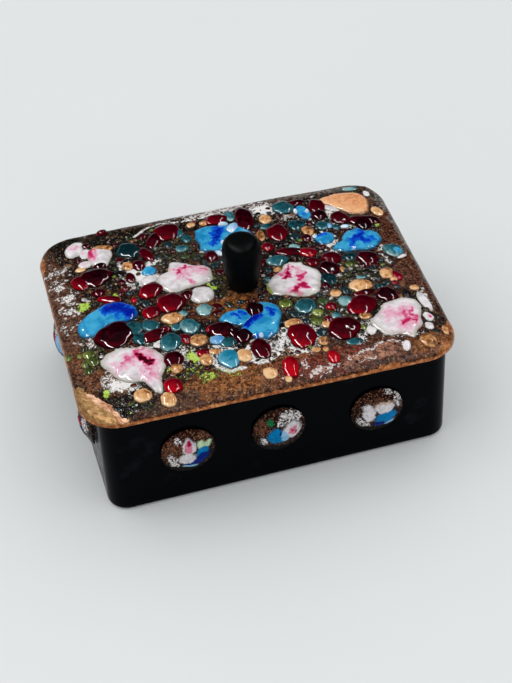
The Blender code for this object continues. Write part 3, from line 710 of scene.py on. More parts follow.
BLUE_BEADS = ((48.4, 3.2, 2.4, 3, 30, 0.0, 1.7),)
# The beads by kind of glass, and the height of the largest
BEADS = (
    ("ruby", RUBY_BEADS, 1.5), ("teal", TEAL_BEADS, 1.2), ("peach", PEACH_BEADS, 1.3),
    ("green", GREEN_BEADS, 1.1), ("blush", BLUSH_BEADS, 1.1), ("ice", ICE_BEADS, 1.4),
    ("blue", BLUE_BEADS, 1.4),
)
# Ground colours, light and dark, and the blobs each fills: x, y, half length, half width
GROUNDS = (
    ((86, 52, 36), (18, 11, 9), ((0, 0, 70, 60),)),
    ((112, 64, 46), (40, 20, 14), ((50, -8, 5, 14), (30, -36, 22, 6), (50, 14, 4.4, 20))),
    ((166, 104, 54), (72, 38, 18),
     ((-10, -36, 18, 5), (-6, -7, 9, 5), (-13, -11, 4, 3), (-40, -23, 3, 8), (8, -31, 6, 2.4),
      (46, -37, 8, 3), (-35, 12, 4, 3))),
    ((136, 62, 44), (54, 20, 14), ((10, -36.6, 11, 4.4), (22, -34, 6, 2))),
    ((100, 66, 46), (46, 28, 20), ((-32, -38, 11, 3.4),)),
    ((32, 28, 22), (7, 7, 7),
     ((-44, 35, 7, 6), (-30, 34, 11, 5), (-27, 26, 8, 7), (30, 23, 12, 6), (-37, 20, 8, 5), (10, 32, 6, 6),
      (-40, -36, 8, 4), (47, -21, 3, 6), (-14, 36, 10, 4), (36, -23, 6, 6), (-30, -2, 5, 4))),
    ((36, 26, 22), (8, 7, 7),
     ((18, 14, 14, 14), (30, -4, 10, 8), (-22, 24, 8, 6), (-20, -14, 12, 6), (14, -20, 10, 6),
      (-4, 34, 16, 3), (-12, -24, 8, 4), (-33, 16, 5, 8))),
    ((76, 70, 40), (20, 19, 10),
     ((-13, 24, 7, 6), (-5.4, 7, 2.4, 8), (34, -4, 6, 4), (-46, -15, 4, 7), (-16, 19, 8, 3),
      (22, -20, 8, 6), (34, 3, 4, 4), (-21, -20, 3, 3), (13, -12, 4, 4))),
    ((110, 70, 50), (42, 23, 17), ((-51, 6, 4, 24), (-50, -6, 4, 10), (-51.6, 32, 2, 8))),
    ((128, 76, 44), (54, 28, 16), ((-47, -24.4, 4, 4), (-51, -14, 2, 8))),
    # Painted reflection: grey along the back and right edges, where the slope reflects the bright room
    ((136, 126, 120), (60, 54, 51),
     ((4, 40.4, 32, 2), (35, 40, 17, 2.5), (52.2, 33, 2.4, 9), (53, 14, 1.4, 26))),
    ((102, 58, 36), (34, 17, 11), ((0, -41.6, 52, 1.3),)),
    ((176, 126, 102), (88, 48, 36),
     ((28, -36.8, 7.5, 1.5), (34, -35, 3, 1), (21, -38, 2, 1), (13, -38.4, 3, 0.8))),
)
# White frit: x, y, half length, half width, how solid
SNOW = (
    (11.4, -24.8, 4.9, 6.2, 0.8), (-0.8, -26.8, 4.0, 5.2, 0.78), (-10.5, -27.4, 5.0, 4.6, 0.74),
    (27.4, -27, 2.2, 4.6, 0.62), (36.6, -30.6, 5, 1.6, 0.45), (32, -26.4, 2.6, 3.4, 0.66),
    (5.4, -23.4, 2.6, 2.6, 0.72), (4, -26.6, 4, 3.4, 0.74), (9, -29.4, 3, 1.6, 0.7), (27, -29, 1.6, 4, 0.6),
    (43, -32.4, 3, 1.4, 0.5), (49.4, -19, 1.4, 6, 0.6), (-27.8, -16, 3, 1.6, 1.1),
    (-24.2, -20, 3.4, 1.2, 0.6), (-22.6, -21.4, 2.6, 1.6, 0.6), (-19, -25.6, 1.6, 3, 0.5),
    (-11.6, -23, 3, 1, 0.6), (-41, -28.4, 4.8, 2.6, 1.0), (-43.8, -24.8, 1.8, 1.8, 0.75),
    (-37.4, -30.6, 2.0, 0.9, 0.8), (-39.2, -32.2, 0.8, 1.4, 0.6), (-45.6, -8.6, 1.6, 2.2, 0.7),
    (-46.4, -11, 1.2, 1, 0.6), (-26.4, 15.2, 4.6, 3.6, 1.1), (-23.6, 11, 4.4, 3.0, 1.1),
    (-29.4, 12.6, 2.4, 3.4, 0.66), (-22, 19.4, 3, 1.2, 0.7), (-30.8, 21, 0.8, 2.6, 0.7),
    (-28, 24, 1, 1, 0.6), (-48, 24.8, 3.4, 1.3, 0.66), (-51.4, 25.4, 1.4, 1, 0.6),
    (-50.4, 20.4, 1.6, 1.5, 0.7), (-50, 17.4, 1.8, 1.2, 0.72), (-47, 16.4, 1, 1.4, 0.5),
    (-48, 12.2, 1.8, 1.3, 0.7), (-47.4, 9.8, 1.6, 1, 0.66), (-48.4, 6.4, 2.2, 1.3, 0.72),
    (-46.4, 4.8, 1.4, 0.8, 0.6), (-51.4, 1.4, 0.9, 1.6, 0.5), (-51, -2, 0.8, 1.2, 0.5),
    (-46, 26, 2, 0.8, 0.5), (30.6, 12.4, 3.4, 2.4, 0.66), (31, 12, 2.2, 2.4, 0.6), (30.6, 8, 1.8, 1.2, 0.7),
    (45, 6, 1.6, 2.6, 0.6), (44.6, -1, 1.6, 2.6, 0.55), (21.6, 28.6, 3, 1.6, 0.6),
    (34.6, 26.6, 1.6, 2, 0.8), (35.4, 20.6, 1.4, 1.2, 0.7), (38.4, 18.4, 2.4, 1.6, 0.5),
    (22, -9.4, 2.4, 1, 0.5), (-2.4, 17.4, 1.8, 2.6, 0.6), (27.6, -19.6, 2, 1.6, 0.55),
    (15.6, 34.4, 3.6, 2.8, 1.3), (4, 38.6, 6, 1.1, 0.4), (17, 37.4, 4, 1.2, 0.55),
)
# Lime grains and frosted grains, in the same way
LIME = (
    (-17.4, -32.4, 2.6, 1.8, 0.58), (-13, -32, 4.2, 1.8, 0.4), (-19.8, -28.4, 3, 2.6, 0.34),
    (-9.4, -32.8, 2, 1.4, 0.36), (-19.6, -24, 1.8, 2, 0.9), (-44.6, 6.6, 1.6, 2, 0.95),
    (-45, -30.4, 1.5, 1.1, 0.9), (-34.6, 7.6, 1.3, 1.7, 0.8), (46.6, 17.6, 0.9, 1.1, 0.8),
    (-7.6, 4, 1.1, 3.2, 0.85), (-26.4, -26.6, 1.3, 1.1, 0.8), (-38.4, -37.4, 5, 2.4, 0.26),
    (-24, -30.4, 1.4, 2.4, 0.3),
)
FROST = (
    (-49, 14, 4, 16, 0.2), (10, -38.6, 9, 1.4, 0.2), (-37, -35, 8, 4, 0.12), (20, -20, 10, 8, 0.2),
    (30, 26, 12, 6, 0.16), (-46, -8, 4, 6, 0.2), (34, -4, 10, 6, 0.2), (-20, -22, 6, 5, 0.25),
    (4, 38, 14, 3, 0.45),
)
# Threads of white glass: half width and points
THREADS = (
    (0.4, ((-14, -21.4), (-10.6, -22.6), (-7, -24.4), (-5, -26), (-4.6, -29))),
    (0.8,
     ((-4.4, -24.6), (-4.8, -27), (-3.6, -31), (0, -31.6), (3, -29.6), (5, -27.4), (6.4, -23), (7, -20.6))),
    (0.4, ((-25, -19.4), (-22, -23.4), (-20.8, -27))),
    (0.7, ((-15, -25), (-14.8, -28), (-12.6, -31.8), (-7, -32.2))),
    (0.45, ((33, 15.2), (31.6, 12.4), (28.4, 9.2))), (0.45, ((28, 8.2), (31.4, 7.2))),
    (0.5, ((25.6, 15), (27.4, 17.6), (31, 18.4))),
    (0.4, ((-24, 33.4), (-20, 36.6), (-16, 38.2), (-9, 36.6))),
    (0.5, ((-9, 36.6), (-4.6, 36), (1, 37.2), (5, 38.2))), (0.5, ((-31, 24.6), (-31.2, 21), (-32, 16))),
    (0.5, ((28.2, -24), (28, -28), (25.4, -32.4))), (0.5, ((7.4, -28.4), (9.6, -30.6), (13, -30.2))),
    (0.4, ((45, 6.6), (43.4, 4), (45.4, 0))),
)
# Where the enamel has flowed smooth
GLAZED = ((0, 39.6, 48, 3.6), (50.5, 20, 3, 22), (-20, 37.6, 14, 2.6))
# Painted highlights: streaks of reflected light along the front slope, laid into the frost value
HIGHLIGHT_STREAKS = (
    ((21, -36.6), (25, -35.4), (30, -34.2), (35, -33.8), (38, -34.4)),
    ((10, -38.8), (13, -38), (17, -38.6)), ((24, -38.6), (28, -37.4)), ((8.6, -34), (9, -36.4)),
)
# Spots where the rounded edge is worn to copper
WORN_EDGE = (
    (-53, 31, 1.5, 5.5), (-50, 38, 2.2, 1.6), (52.6, -34, 1.5, 5), (49.6, -39.4, 2.4, 1.2),
    (30, -41.6, 8, 0.6),
)
# Bare copper at the front left corner, and the brighter ridge along its inner side
BARE_CORNER = (
    (-56, -22), (-52, -25), (-49, -29), (-46.4, -33), (-43.6, -37.4), (-40.4, -42), (-46, -44), (-56, -44),
    (-57, -30),
)
CORNER_RIDGE = ((-49.6, -29), (-46.6, -34), (-44.0, -38), (-42.0, -42))
# Chips between the lumps: colour and share of all, over the middle and over the brown slopes
CHIPS = (
    ((34, 23, 18), 22), ((14, 12, 12), 34), ((66, 42, 28), 8), ((52, 54, 32), 10), ((62, 2, 10), 13),
    ((18, 44, 50), 12), ((136, 94, 60), 3), ((186, 180, 176), 3), ((32, 42, 28), 9), ((70, 74, 70), 2),
    ((108, 138, 52), 2), ((112, 90, 42), 2),
)
BROWN_CHIPS = (
    ((60, 34, 23), 30), ((34, 21, 16), 26), ((112, 66, 38), 18), ((150, 98, 56), 7), ((22, 16, 16), 12),
    ((180, 166, 154), 3), ((78, 8, 12), 2),
)
LIME_CHIP = (176, 214, 70)
SLOPES = (
    (-6, -37, 26, 6), (22, -37, 30, 6), (-6, -8, 9, 5), (50, 0, 4, 24), (-50, 0, 6, 30), (0, 40, 44, 4),
    (-46, -26, 6, 6), (-44, 36, 6, 5),
)
# Pebbles, in the same way, and the parts of the lid where they lie
PEBBLES = (
    ((44, 48, 28), 12), ((16, 44, 50), 15), ((60, 0, 10), 20), ((13, 11, 11), 14), ((112, 72, 44), 5),
    ((34, 42, 34), 9), ((86, 100, 96), 2), ((40, 24, 17), 7), ((50, 72, 36), 3),
)
PEBBLE_FIELD = ((6, 4, 40, 26), (22, -14, 24, 12), (-24, 24, 20, 9), (24, 28, 20, 7), (-30, -10, 18, 12))
# Seed and number of tries of the scatter. The first tries for pebbles are for large ones.
SCATTER_SEED = 41
PEBBLE_TRIES, LARGE_PEBBLE_TRIES, CHIP_TRIES = 3600, 900, 5200
# The smooth collar round the knob's foot, and the reach there that is kept clear of chips and pebbles
COLLAR, COLLAR_RISE, CHIP_CLEARANCE, PEBBLE_CLEARANCE = 1.6, 0.24, 1.6, 1.5
# How far the lid's hand-made edge strays from straight, on average
EDGE_STRAY = 0.12
# Seeds of the two ways in which painted outlines wander on the lid
WANDER_SEEDS = (11.0, 13.0)
# Beads below this size have fewer facets, and all spread a little beyond their sizes
SMALL_BEAD, BEAD_SPREAD = 4, 1.06
# Clear glass: dark, middle and bright colours, an edge colour that is painted shade where the glass meets
# the ground, and how clouded it is
CLEAR_GLASS = {
    "ruby": ((22, 0, 6), (90, 0, 16), (178, 4, 20), (14, 1, 5), 0.5),
    "teal": ((8, 34, 40), (36, 98, 110), (136, 176, 178), (10, 30, 32), 0.8),
    "peach": ((104, 60, 30), (198, 140, 88), (234, 192, 144), (50, 27, 16), 2.0),
    "apricot": ((184, 116, 74), (226, 160, 112), (238, 186, 140), (72, 40, 26), 1.5),
    "green": ((28, 36, 16), (80, 92, 38), (144, 156, 78), (22, 22, 12), 1.1),
    "ice": ((70, 138, 196), (136, 184, 224), (218, 232, 244), (40, 70, 96), 0.6),
    "aqua": ((10, 76, 104), (24, 122, 152), (112, 180, 206), (12, 40, 50), 0.7),
}


def painted_tone(colour):
    """A colour to paint on a mesh, from its screen values."""
    return np.array(tone(*colour)[:3])


def soft_blobs(x, y, blobs, softness=0.35):
    """How far each point is inside any of the blobs, from 0 outside to 1."""
    mask = np.zeros(len(x))
    for blob in blobs:
        away = np.hypot((x - blob[0]) / blob[2], (y - blob[1]) / blob[3])
        solid = blob[4] if len(blob) > 4 else 1.0
        mask = np.maximum(mask, solid * np.clip((1 + softness - away) / (2 * softness), 0, 1))
    return mask


def oval(x, y, length, width, turn, seed, steps):
    """A slightly uneven oval."""
    angles = np.linspace(0, 2 * math.pi, steps, endpoint=False)
    c, s = math.cos(math.radians(turn)), math.sin(math.radians(turn))
    loop = []
    for angle in angles:
        around = Vector((math.cos(angle), math.sin(angle), seed))
        fine = noise.noise(around * 2.3 + Vector((5, 3, 1)))
        swell = 1.05 + 0.16 * noise.noise(around * 1.1) + 0.10 * fine
        u, v = length / 2 * math.cos(angle) * swell, width / 2 * math.sin(angle) * swell
        loop.append((x + c * u - s * v, y + s * u + c * v))
    return np.array(loop)


def near_stroke(points, path):
    """Distance of each point from a run of straight strokes."""
    nearest = np.full(len(points), 1e9)
    for a, b in zip(path, path[1:]):
        a, b = np.array(a, float), np.array(b, float)
        along = np.clip(((points - a) @ (b - a)) / max((b - a) @ (b - a), 1e-9), 0, 1)
        nearest = np.minimum(nearest, np.linalg.norm(points - a - along[:, None] * (b - a), axis=1))
    return nearest


def inside(points, loop):
    """Which points lie inside a closed loop."""
    x, y = points[:, 0], points[:, 1]
    hit = np.zeros(len(points), bool)
    for (x1, y1), (x2, y2) in zip(loop, np.roll(loop, -1, axis=0)):
        crosses = (y1 > y) != (y2 > y)
        if crosses.any():
            hit ^= crosses & (x < (x2 - x1) * (y - y1) / ((y2 - y1) or 1e-9) + x1)
    return hit


class Glass:
    """Collects domes of one kind of glass into one mesh."""

    # How far a dome's edge and the tip of its underside lie below the lid's surface
    SINK, ROOT = 0.2, 0.55
    # Painted light: the side of a dome that lies away from here is painted brighter, as light gathers there
    LIT_SIDE = np.array((0.7, 0.7))

    def __init__(self):
        self.points, self.faces = [], []
        self.paints = {}
        self.loops = []

    def add(self, loop, height, rings, power, seed, strokes=(), glow=0.0, wobble=0.05, chip=None):
        """One dome over a loop that is star-shaped about its middle."""
        count = len(loop)
        centre = loop.mean(axis=0)
        shares = [1 - (ring / rings) ** 1.25 for ring in range(rings)]
        flat = np.concatenate([centre + (loop - centre) * share for share in shares] + [centre[None]])
        edge = np.append(np.repeat(shares, count), 0.0)
        lift = height * np.sqrt(np.clip(1 - edge ** power, 0, 1))
        ripple = np.array([rough(x, y, 2.6, seed) for x, y in flat])
        top = LID_TOP + crown(flat[:, 0], flat[:, 1]) - self.SINK + lift * (1 + 2 * wobble * ripple) \
            + wobble * ripple * (1 - edge ** 4)
        start = sum(len(p) for p in self.points)
        under = np.array((centre[0], centre[1], LID_TOP + crown(*centre) - self.ROOT))
        self.points.append(np.vstack((np.column_stack((flat, top)), under)))
        tip = start + rings * count
        self.faces += stack(count, rings, start) + fan(count, tip - count, tip)
        self.faces += flipped(fan(count, start, tip + 1))
        accent = np.zeros(len(flat))
        if strokes:
            drift = np.array([[bleed(x, y, seed), bleed(x, y, seed + 9.0)] for x, y in flat])
            for width, strength, path in strokes:
                away = near_stroke(flat + drift, path)
                accent = np.maximum(accent, strength * np.exp(-(away / width) ** 2))
        size = np.abs(loop - centre).max(axis=0)
        # Painted light: brighter towards the side away from LIT_SIDE, by how much light gathers in each
        # dome
        lean = -(flat - centre) @ self.LIT_SIDE / max(size[1], 0.1)
        light = glow * (0.5 + 0.8 * np.clip(0.5 + 0.62 * lean, 0, 1.2))
        self.paint("edge", edge, 1.0)
        self.paint("accent", accent, 0.0)
        self.paint("glow", light, 0.0)
        if chip:
            own = painted_tone(chip)
            self.paint("chip", np.tile(own, (len(flat), 1)), own)
        self.loops.append(loop)

    def paint(self, name, values, under):
        self.paints.setdefault(name, []).append(np.concatenate((values, [under])))

    def finish(self, name, material):
        paints = {key: np.concatenate(parts) for key, parts in self.paints.items()}
        make_piece(name, np.concatenate(self.points), self.faces, [material], "lid", paints,
                   turn=LID_TURN)


def make_glass():
    """Every lump and bead of glass on the lid. Returns their outlines."""
    finishes = {"blush": blush_finish(), "blue": blue_finish()}
    for kind, looks in CLEAR_GLASS.items():
        finishes[kind] = clear_finish(kind + "_glass", *looks)
    kinds = {name: Glass() for name in finishes}
    for number, (kind, height, outline, strokes) in enumerate(SLABS):
        loop = smooth_loop(outline, steps=10)
        centre = loop.mean(axis=0)
        swell = np.array([1 + 0.05 * rough(*p, 2.2, number) + 0.035 * rough(*p, 0.8, number) for p in loop])
        loop = centre + (loop - centre) * swell[:, None]
        kinds[kind].add(loop, height, rings=26, power=4.5, seed=number, strokes=strokes, glow=0.6,
                        wobble=0.07)
    for kind, places, rise in BEADS:
        for number, (x, y, length, width, turn, glow, *height) in enumerate(places):
            small = min(length, width)
            height = height[0] if height else rise * min(0.35 + small / 9, 1.0)
            steps, rings = (24, 7) if small < SMALL_BEAD else (40, 12)
            seed = 7.3 * number + len(kind)
            loop = oval(x, y, length * BEAD_SPREAD, width * BEAD_SPREAD, turn, seed, steps)
            strokes = ((small * 0.3, glow, ((x, y), (x, y))),) if kind == "blush" else ()
            kinds[kind].add(loop, height, rings, power=2.4, seed=number, strokes=strokes, glow=glow)
    for kind, batch in kinds.items():
        batch.finish("lid_glass_" + kind, finishes[kind])
    return [loop for batch in kinds.values() for loop in batch.loops]


def make_pebbles(loops, rng):
    """Pieces of a few millimetres fill the gaps that the lumps leave in the middle of the lid."""
    pebbles = Glass()
    colours = [c for c, share in PEBBLES for _ in range(share)]
    middles = np.array([loop.mean(axis=0) for loop in loops] + [[KNOB_SHIFT, 0.0]])
    reaches = [np.linalg.norm(loop - m, axis=1).max() for loop, m in zip(loops, middles)]
    reaches.append(KNOB_FOOT + PEBBLE_CLEARANCE)
    for number in range(PEBBLE_TRIES):
        x, y = rng.uniform(-50, 50), rng.uniform(-34, 38)
        size = rng.uniform(3.0, 4.2) if number < LARGE_PEBBLE_TRIES else rng.uniform(1.4, 3.0)
        colour = rng.choice(colours)
        turn, slim = rng.uniform(0, 180), rng.uniform(0.65, 1.0)
        spot = (np.array([x]), np.array([y]))
        if soft_blobs(*spot, PEBBLE_FIELD)[0] < 0.5 or (size > 2 and soft_blobs(*spot, SNOW)[0] > 0.4):
            continue
        loop = oval(x, y, size, size * slim, turn, seed=number * 2.3, steps=18)
        reach = size * 0.6
        near = [i for i in range(len(middles)) if np.hypot(*(middles[i] - (x, y))) < reaches[i] + reach]
        core = loop * 0.66 + np.array((x, y)) * 0.34
        if any(i >= len(loops) or inside(core, loops[i]).any() for i in near):
            continue
        pebbles.add(loop, rng.uniform(0.6, 0.9), rings=6, power=2.4, seed=number, chip=colour)
        loops.append(loop)
        middles = np.vstack((middles[:-1], [[x, y]], middles[-1:]))
        reaches = reaches[:-1] + [reach] + reaches[-1:]
    pebbles.finish("lid_pebbles", grain_finish())


def make_chips(loops):
    """Small seeded chips scattered over the ground, clear of the lumps."""
    rng = random.Random(SCATTER_SEED)
    chips = Glass()
    make_pebbles(loops, rng)
    spots = np.array([(rng.uniform(-51, 51), rng.uniform(-39, 39)) for _ in range(CHIP_TRIES)])
    margin = 2.6
    field = rounded_ring(LID_LENGTH / 2 - margin, LID_DEPTH / 2 - margin, LID_CORNER - margin, corner=12,
                         gaps=(8, 8))
    clear = inside(spots, field) & ~inside(spots, np.array(BARE_CORNER))
    for loop in loops:
        centre = loop.mean(axis=0)
        clear &= ~inside(spots, centre + (loop - centre) * 1.01)
    clear &= np.hypot(spots[:, 0] - KNOB_SHIFT, spots[:, 1]) > KNOB_FOOT + CHIP_CLEARANCE
    slope, lime, snow = (soft_blobs(*spots.T, blobs) for blobs in (SLOPES, LIME, SNOW))
    mixes = [[c for c, share in mix for _ in range(share)] for mix in (CHIPS, BROWN_CHIPS)]
    for number, (x, y) in enumerate(spots):
        if not clear[number] or rng.random() < max(0.8 * slope[number], 0.7 * snow[number]):
            continue
        brown = int(slope[number] > 0.4)
        size = 0.5 + (0.6 if brown else 1.9) * rng.random() ** 2
        colour = LIME_CHIP if lime[number] > 0.4 else rng.choice(mixes[brown])
        slim, turn = rng.uniform(0.6, 1.0), rng.uniform(0, 180)
        loop = oval(x, y, size, size * slim, turn, seed=number * 1.7, steps=9)
        chips.add(loop, rng.uniform(0.35, 0.6), rings=3, power=2.2, seed=number, chip=colour)
    chips.finish("lid_chips", grain_finish())


def wander(points, seed):
    """How far painted outlines stray from their places on the lid, in millimetres."""
    return np.array([1.6 * rough(x, y, 3.0, seed) + 0.8 * rough(x, y, 1.1, seed + 1) for x, y in points])


def lid_paints(top):
    """The values painted on the lid's outer skin."""
    plan = top[:, :2]
    drift = np.column_stack([wander(plan, seed) for seed in WANDER_SEEDS])
    strayed = plan + drift
    light, dark = np.zeros((len(top), 3)), np.zeros((len(top), 3))
    for bright, deep, blobs in GROUNDS:
        mask = soft_blobs(*strayed.T, blobs)[:, None]
        light += (painted_tone(bright) - light) * mask
        dark += (painted_tone(deep) - dark) * mask
    snow, frost_and_highlight, lime = (soft_blobs(*strayed.T, blobs, 0.4) for blobs in (SNOW, FROST, LIME))
    for width, path in THREADS:
        snow = np.maximum(snow, 0.95 * np.exp(-(near_stroke(plan + 0.4 * drift, path) / width) ** 4))
    # Painted highlight streaks along the front slope, added to the frost value
    for path in HIGHLIGHT_STREAKS:
        frost_and_highlight = np.maximum(frost_and_highlight, 0.64 * np.exp(-(near_stroke(strayed, path) / 0.6) ** 2))
    filed = np.clip(0.95 - (top[:, 2] - LID_RIM) / 2.0, 0, 1)
    return {
        "ground_light": light, "ground_dark": dark, "snow": snow, "frost_and_highlight": frost_and_highlight,
        "copper": inside(plan + 0.35 * drift, np.array(BARE_CORNER)).astype(float),
        "glazed": 0.8 * soft_blobs(*plan.T, GLAZED),
        "ridge": np.exp(-(near_stroke(plan, CORNER_RIDGE) / 1.25) ** 2),
        "filed": np.maximum(filed, 0.62 * soft_blobs(*strayed.T, WORN_EDGE)),
        "lime": lime,
    }


def make_lid():
    """The lid's copper and its ground: outer skin, filed rim and plain underside, in one closed mesh."""
    half_x, half_y = LID_LENGTH / 2, LID_DEPTH / 2
    roll_steps, top_steps, under_roll_steps, under_steps = 8, 92, 4, 16

    def ring(inset):
        return rounded_ring(half_x - inset, half_y - inset, LID_CORNER - inset, corner=34,
                            gaps=(190, 138))

    edge = ring(0.0)
    count = len(edge)
    uneven = np.array([EDGE_STRAY * (1 + rough(x, y, 5.0, 3.1)) for x, y in edge])
    rings = []
    for step in range(roll_steps + 1):
        angle = math.radians(90 * step / roll_steps)
        loop = ring(EDGE_ROLL * (1 - math.cos(angle)))
        pull = uneven * math.cos(angle)
        loop = loop - loop / np.linalg.norm(loop, axis=1)[:, None] * pull[:, None]
        lift = (EDGE_DROP + crown(loop[:, 0], loop[:, 1])) * math.sin(angle)
        rings.append(np.column_stack((loop, LID_RIM + lift)))
    inner = ring(EDGE_ROLL)
    for step in range(1, top_steps):
        loop = inner * (1 - step / top_steps)
        rings.append(np.column_stack((loop, LID_TOP + crown(loop[:, 0], loop[:, 1]))))
    peak = LID_TOP + CROWN_RISE
    top = np.concatenate(rings + [np.array([[0.0, 0.0, peak]])])
    x, y = top[:, 0], top[:, 1]
    relief = np.array([0.16 * rough(a, b, 3.4, 1.0) + 0.10 * rough(a, b, 1.2, 5.0) for a, b in top[:, :2]])
    calm = np.clip((half_y - np.abs(y)) / 3, 0, 1) * np.clip((half_x - np.abs(x)) / 3, 0, 1)
    top[:, 2] += relief * calm
    collar = np.clip((KNOB_FOOT + COLLAR - np.hypot(x - KNOB_SHIFT, y)) / COLLAR, 0, 1)
    top[:, 2] = top[:, 2] * (1 - collar) + (peak + COLLAR_RISE) * collar

    under = []
    for step in range(under_roll_steps + 1):
        angle = math.radians(90 * step / under_roll_steps)
        loop = ring(EDGE_ROLL - (EDGE_ROLL - LID_THICKNESS) * math.cos(angle))
        lift = (EDGE_DROP - LID_THICKNESS + crown(loop[:, 0], loop[:, 1])) * math.sin(angle)
        under.append(np.column_stack((loop, LID_RIM + lift)))
    for step in range(1, under_steps):
        loop = inner * (1 - step / under_steps)
        under.append(np.column_stack((loop, LID_TOP - LID_THICKNESS + crown(loop[:, 0], loop[:, 1]))))
    base = len(top)
    points = np.concatenate([top] + under + [np.array([[0.0, 0.0, peak - LID_THICKNESS]])])

    skin = stack(count, len(rings)) + fan(count, (len(rings) - 1) * count, base - 1)
    rim = flipped(bridge(count, 0, base))
    underside = stack(count, len(under), base)
    underside += fan(count, base + (len(under) - 1) * count, len(points) - 1)
    slots = [0] * len(skin) + [1] * len(rim) + [2] * len(underside)
    spare = len(points) - base
    paints = {name: np.concatenate((values, np.zeros((spare, *values.shape[1:]))))
              for name, values in lid_paints(top).items()}
    finishes = [ground_finish(), rim_finish(), counter_finish()]
    make_piece("lid_skin", points, skin + rim + flipped(underside), finishes, "lid",
               paints, slots, LID_TURN)


# Box, knob and discs


def quarter(radius, steps):
    """Inset and drop of the points round a rounded edge, from its side to its top."""
    angles = [math.radians(90 * step / steps) for step in range(steps + 1)]
    return [(radius * (1 - math.cos(angle)), radius * (1 - math.sin(angle))) for angle in angles]


def make_box():
    """The black box: outside, rim, inside and floor in one closed mesh."""
    walls = np.linspace(FOOT_ROUNDING, BODY_HEIGHT - RIM_ROUNDING, 16)[1:-1]
    inner_walls = np.linspace(BODY_HEIGHT - 1.0, BODY_FLOOR + INSIDE_ROUNDING, 12)
    levels = quarter(FOOT_ROUNDING, steps=8)[::-1] + [(0.0, height) for height in walls]
    levels += [(inset, BODY_HEIGHT - drop) for inset, drop in quarter(RIM_ROUNDING, steps=5)]
    lip, hollow = quarter(LIP_ROUNDING, steps=4)[::-1], quarter(INSIDE_ROUNDING, steps=6)[1:]
    levels += [(BODY_WALL - inset, BODY_HEIGHT - drop) for inset, drop in lip]
    levels += [(BODY_WALL, height) for height in inner_walls]
    levels += [(BODY_WALL + inset, BODY_FLOOR + drop) for inset, drop in hollow]
    rings = []
    for inset, height in levels:
        radius = max(BODY_CORNER - inset, 0.6)
        loop = rounded_ring(BODY_LENGTH / 2 - inset, BODY_DEPTH / 2 - inset, radius, corner=12,
                            gaps=(48, 36))
        rings.append(np.column_stack((loop, np.full(len(loop), height))))
    count = len(rings[0])
    points = np.concatenate(rings + [np.array([[0, 0, 0.0], [0, 0, BODY_FLOOR]])])
    faces = stack(count, len(rings)) + flipped(fan(count, 0, len(points) - 2))
    faces += fan(count, (len(rings) - 1) * count, len(points) - 1)
    make_piece("box_shell", points, faces, [box_finish()], "box_body")


def lathe(profile, steps):
    """A closed turned shape from radius and height pairs, from the foot's middle to the top's middle."""
    rings = profile[1:-1]
    points = [(0.0, 0.0, profile[0][1])]
    for radius, height in rings:
        for step in range(steps):
            angle = 2 * math.pi * step / steps
            points.append((radius * math.cos(angle), radius * math.sin(angle), height))
    points.append((0.0, 0.0, profile[-1][1]))
    faces = flipped(fan(steps, 1, 0)) + stack(steps, len(rings), 1)
    faces += fan(steps, 1 + (len(rings) - 1) * steps, len(points) - 1)
    return np.array(points), faces


def make_knob():
    """The turned peg: it widens from its foot to its belly and ends in a squarish dome."""
    stem_steps, dome_steps = 24, 36
    profile = [(0.0, 0.0), (KNOB_FOOT - KNOB_EDGE, 0.0)]
    for step in range(stem_steps + 1):
        share = step / stem_steps
        taper = 1 - math.sin(math.pi / 2 * share)
        radius = KNOB_BELLY + (KNOB_FOOT - KNOB_BELLY) * taper
        profile.append((radius, KNOB_EDGE + (KNOB_BELLY_HEIGHT - KNOB_EDGE) * share))
    for step in range(1, dome_steps):
        angle = math.radians(90 * step / dome_steps)
        rise = math.sin(angle) ** (2 / KNOB_SQUARENESS)
        profile.append((KNOB_BELLY * math.cos(angle) ** (2 / KNOB_SQUARENESS),
                        KNOB_BELLY_HEIGHT + (KNOB_HEIGHT - KNOB_BELLY_HEIGHT) * rise))
    profile.append((0.0, KNOB_HEIGHT))
    points, faces = lathe(profile, steps=72)
    points += np.array((KNOB_SHIFT, 0.0, LID_TOP + CROWN_RISE + GAP))
    make_piece("knob_turned", points, faces, [knob_finish()], "knob", turn=LID_TURN)


# The discs' colours, as they look on a screen
WHITE, CREAM, PINK = (206, 202, 206), (200, 176, 160), (200, 120, 142)
MAGENTA, SKY, DEEP = (150, 14, 58), (2, 112, 168), (2, 28, 110)
BROWN, GOLD, FERN = (47, 22, 15), (92, 56, 39), (24, 104, 60)
DUSK, FRIT, ICE = (20, 12, 13), (206, 202, 200), (130, 176, 208)
# The black is painted shade over the discs' lower parts
MINT, SHADE_BLACK = (182, 210, 172), (4, 5, 7)

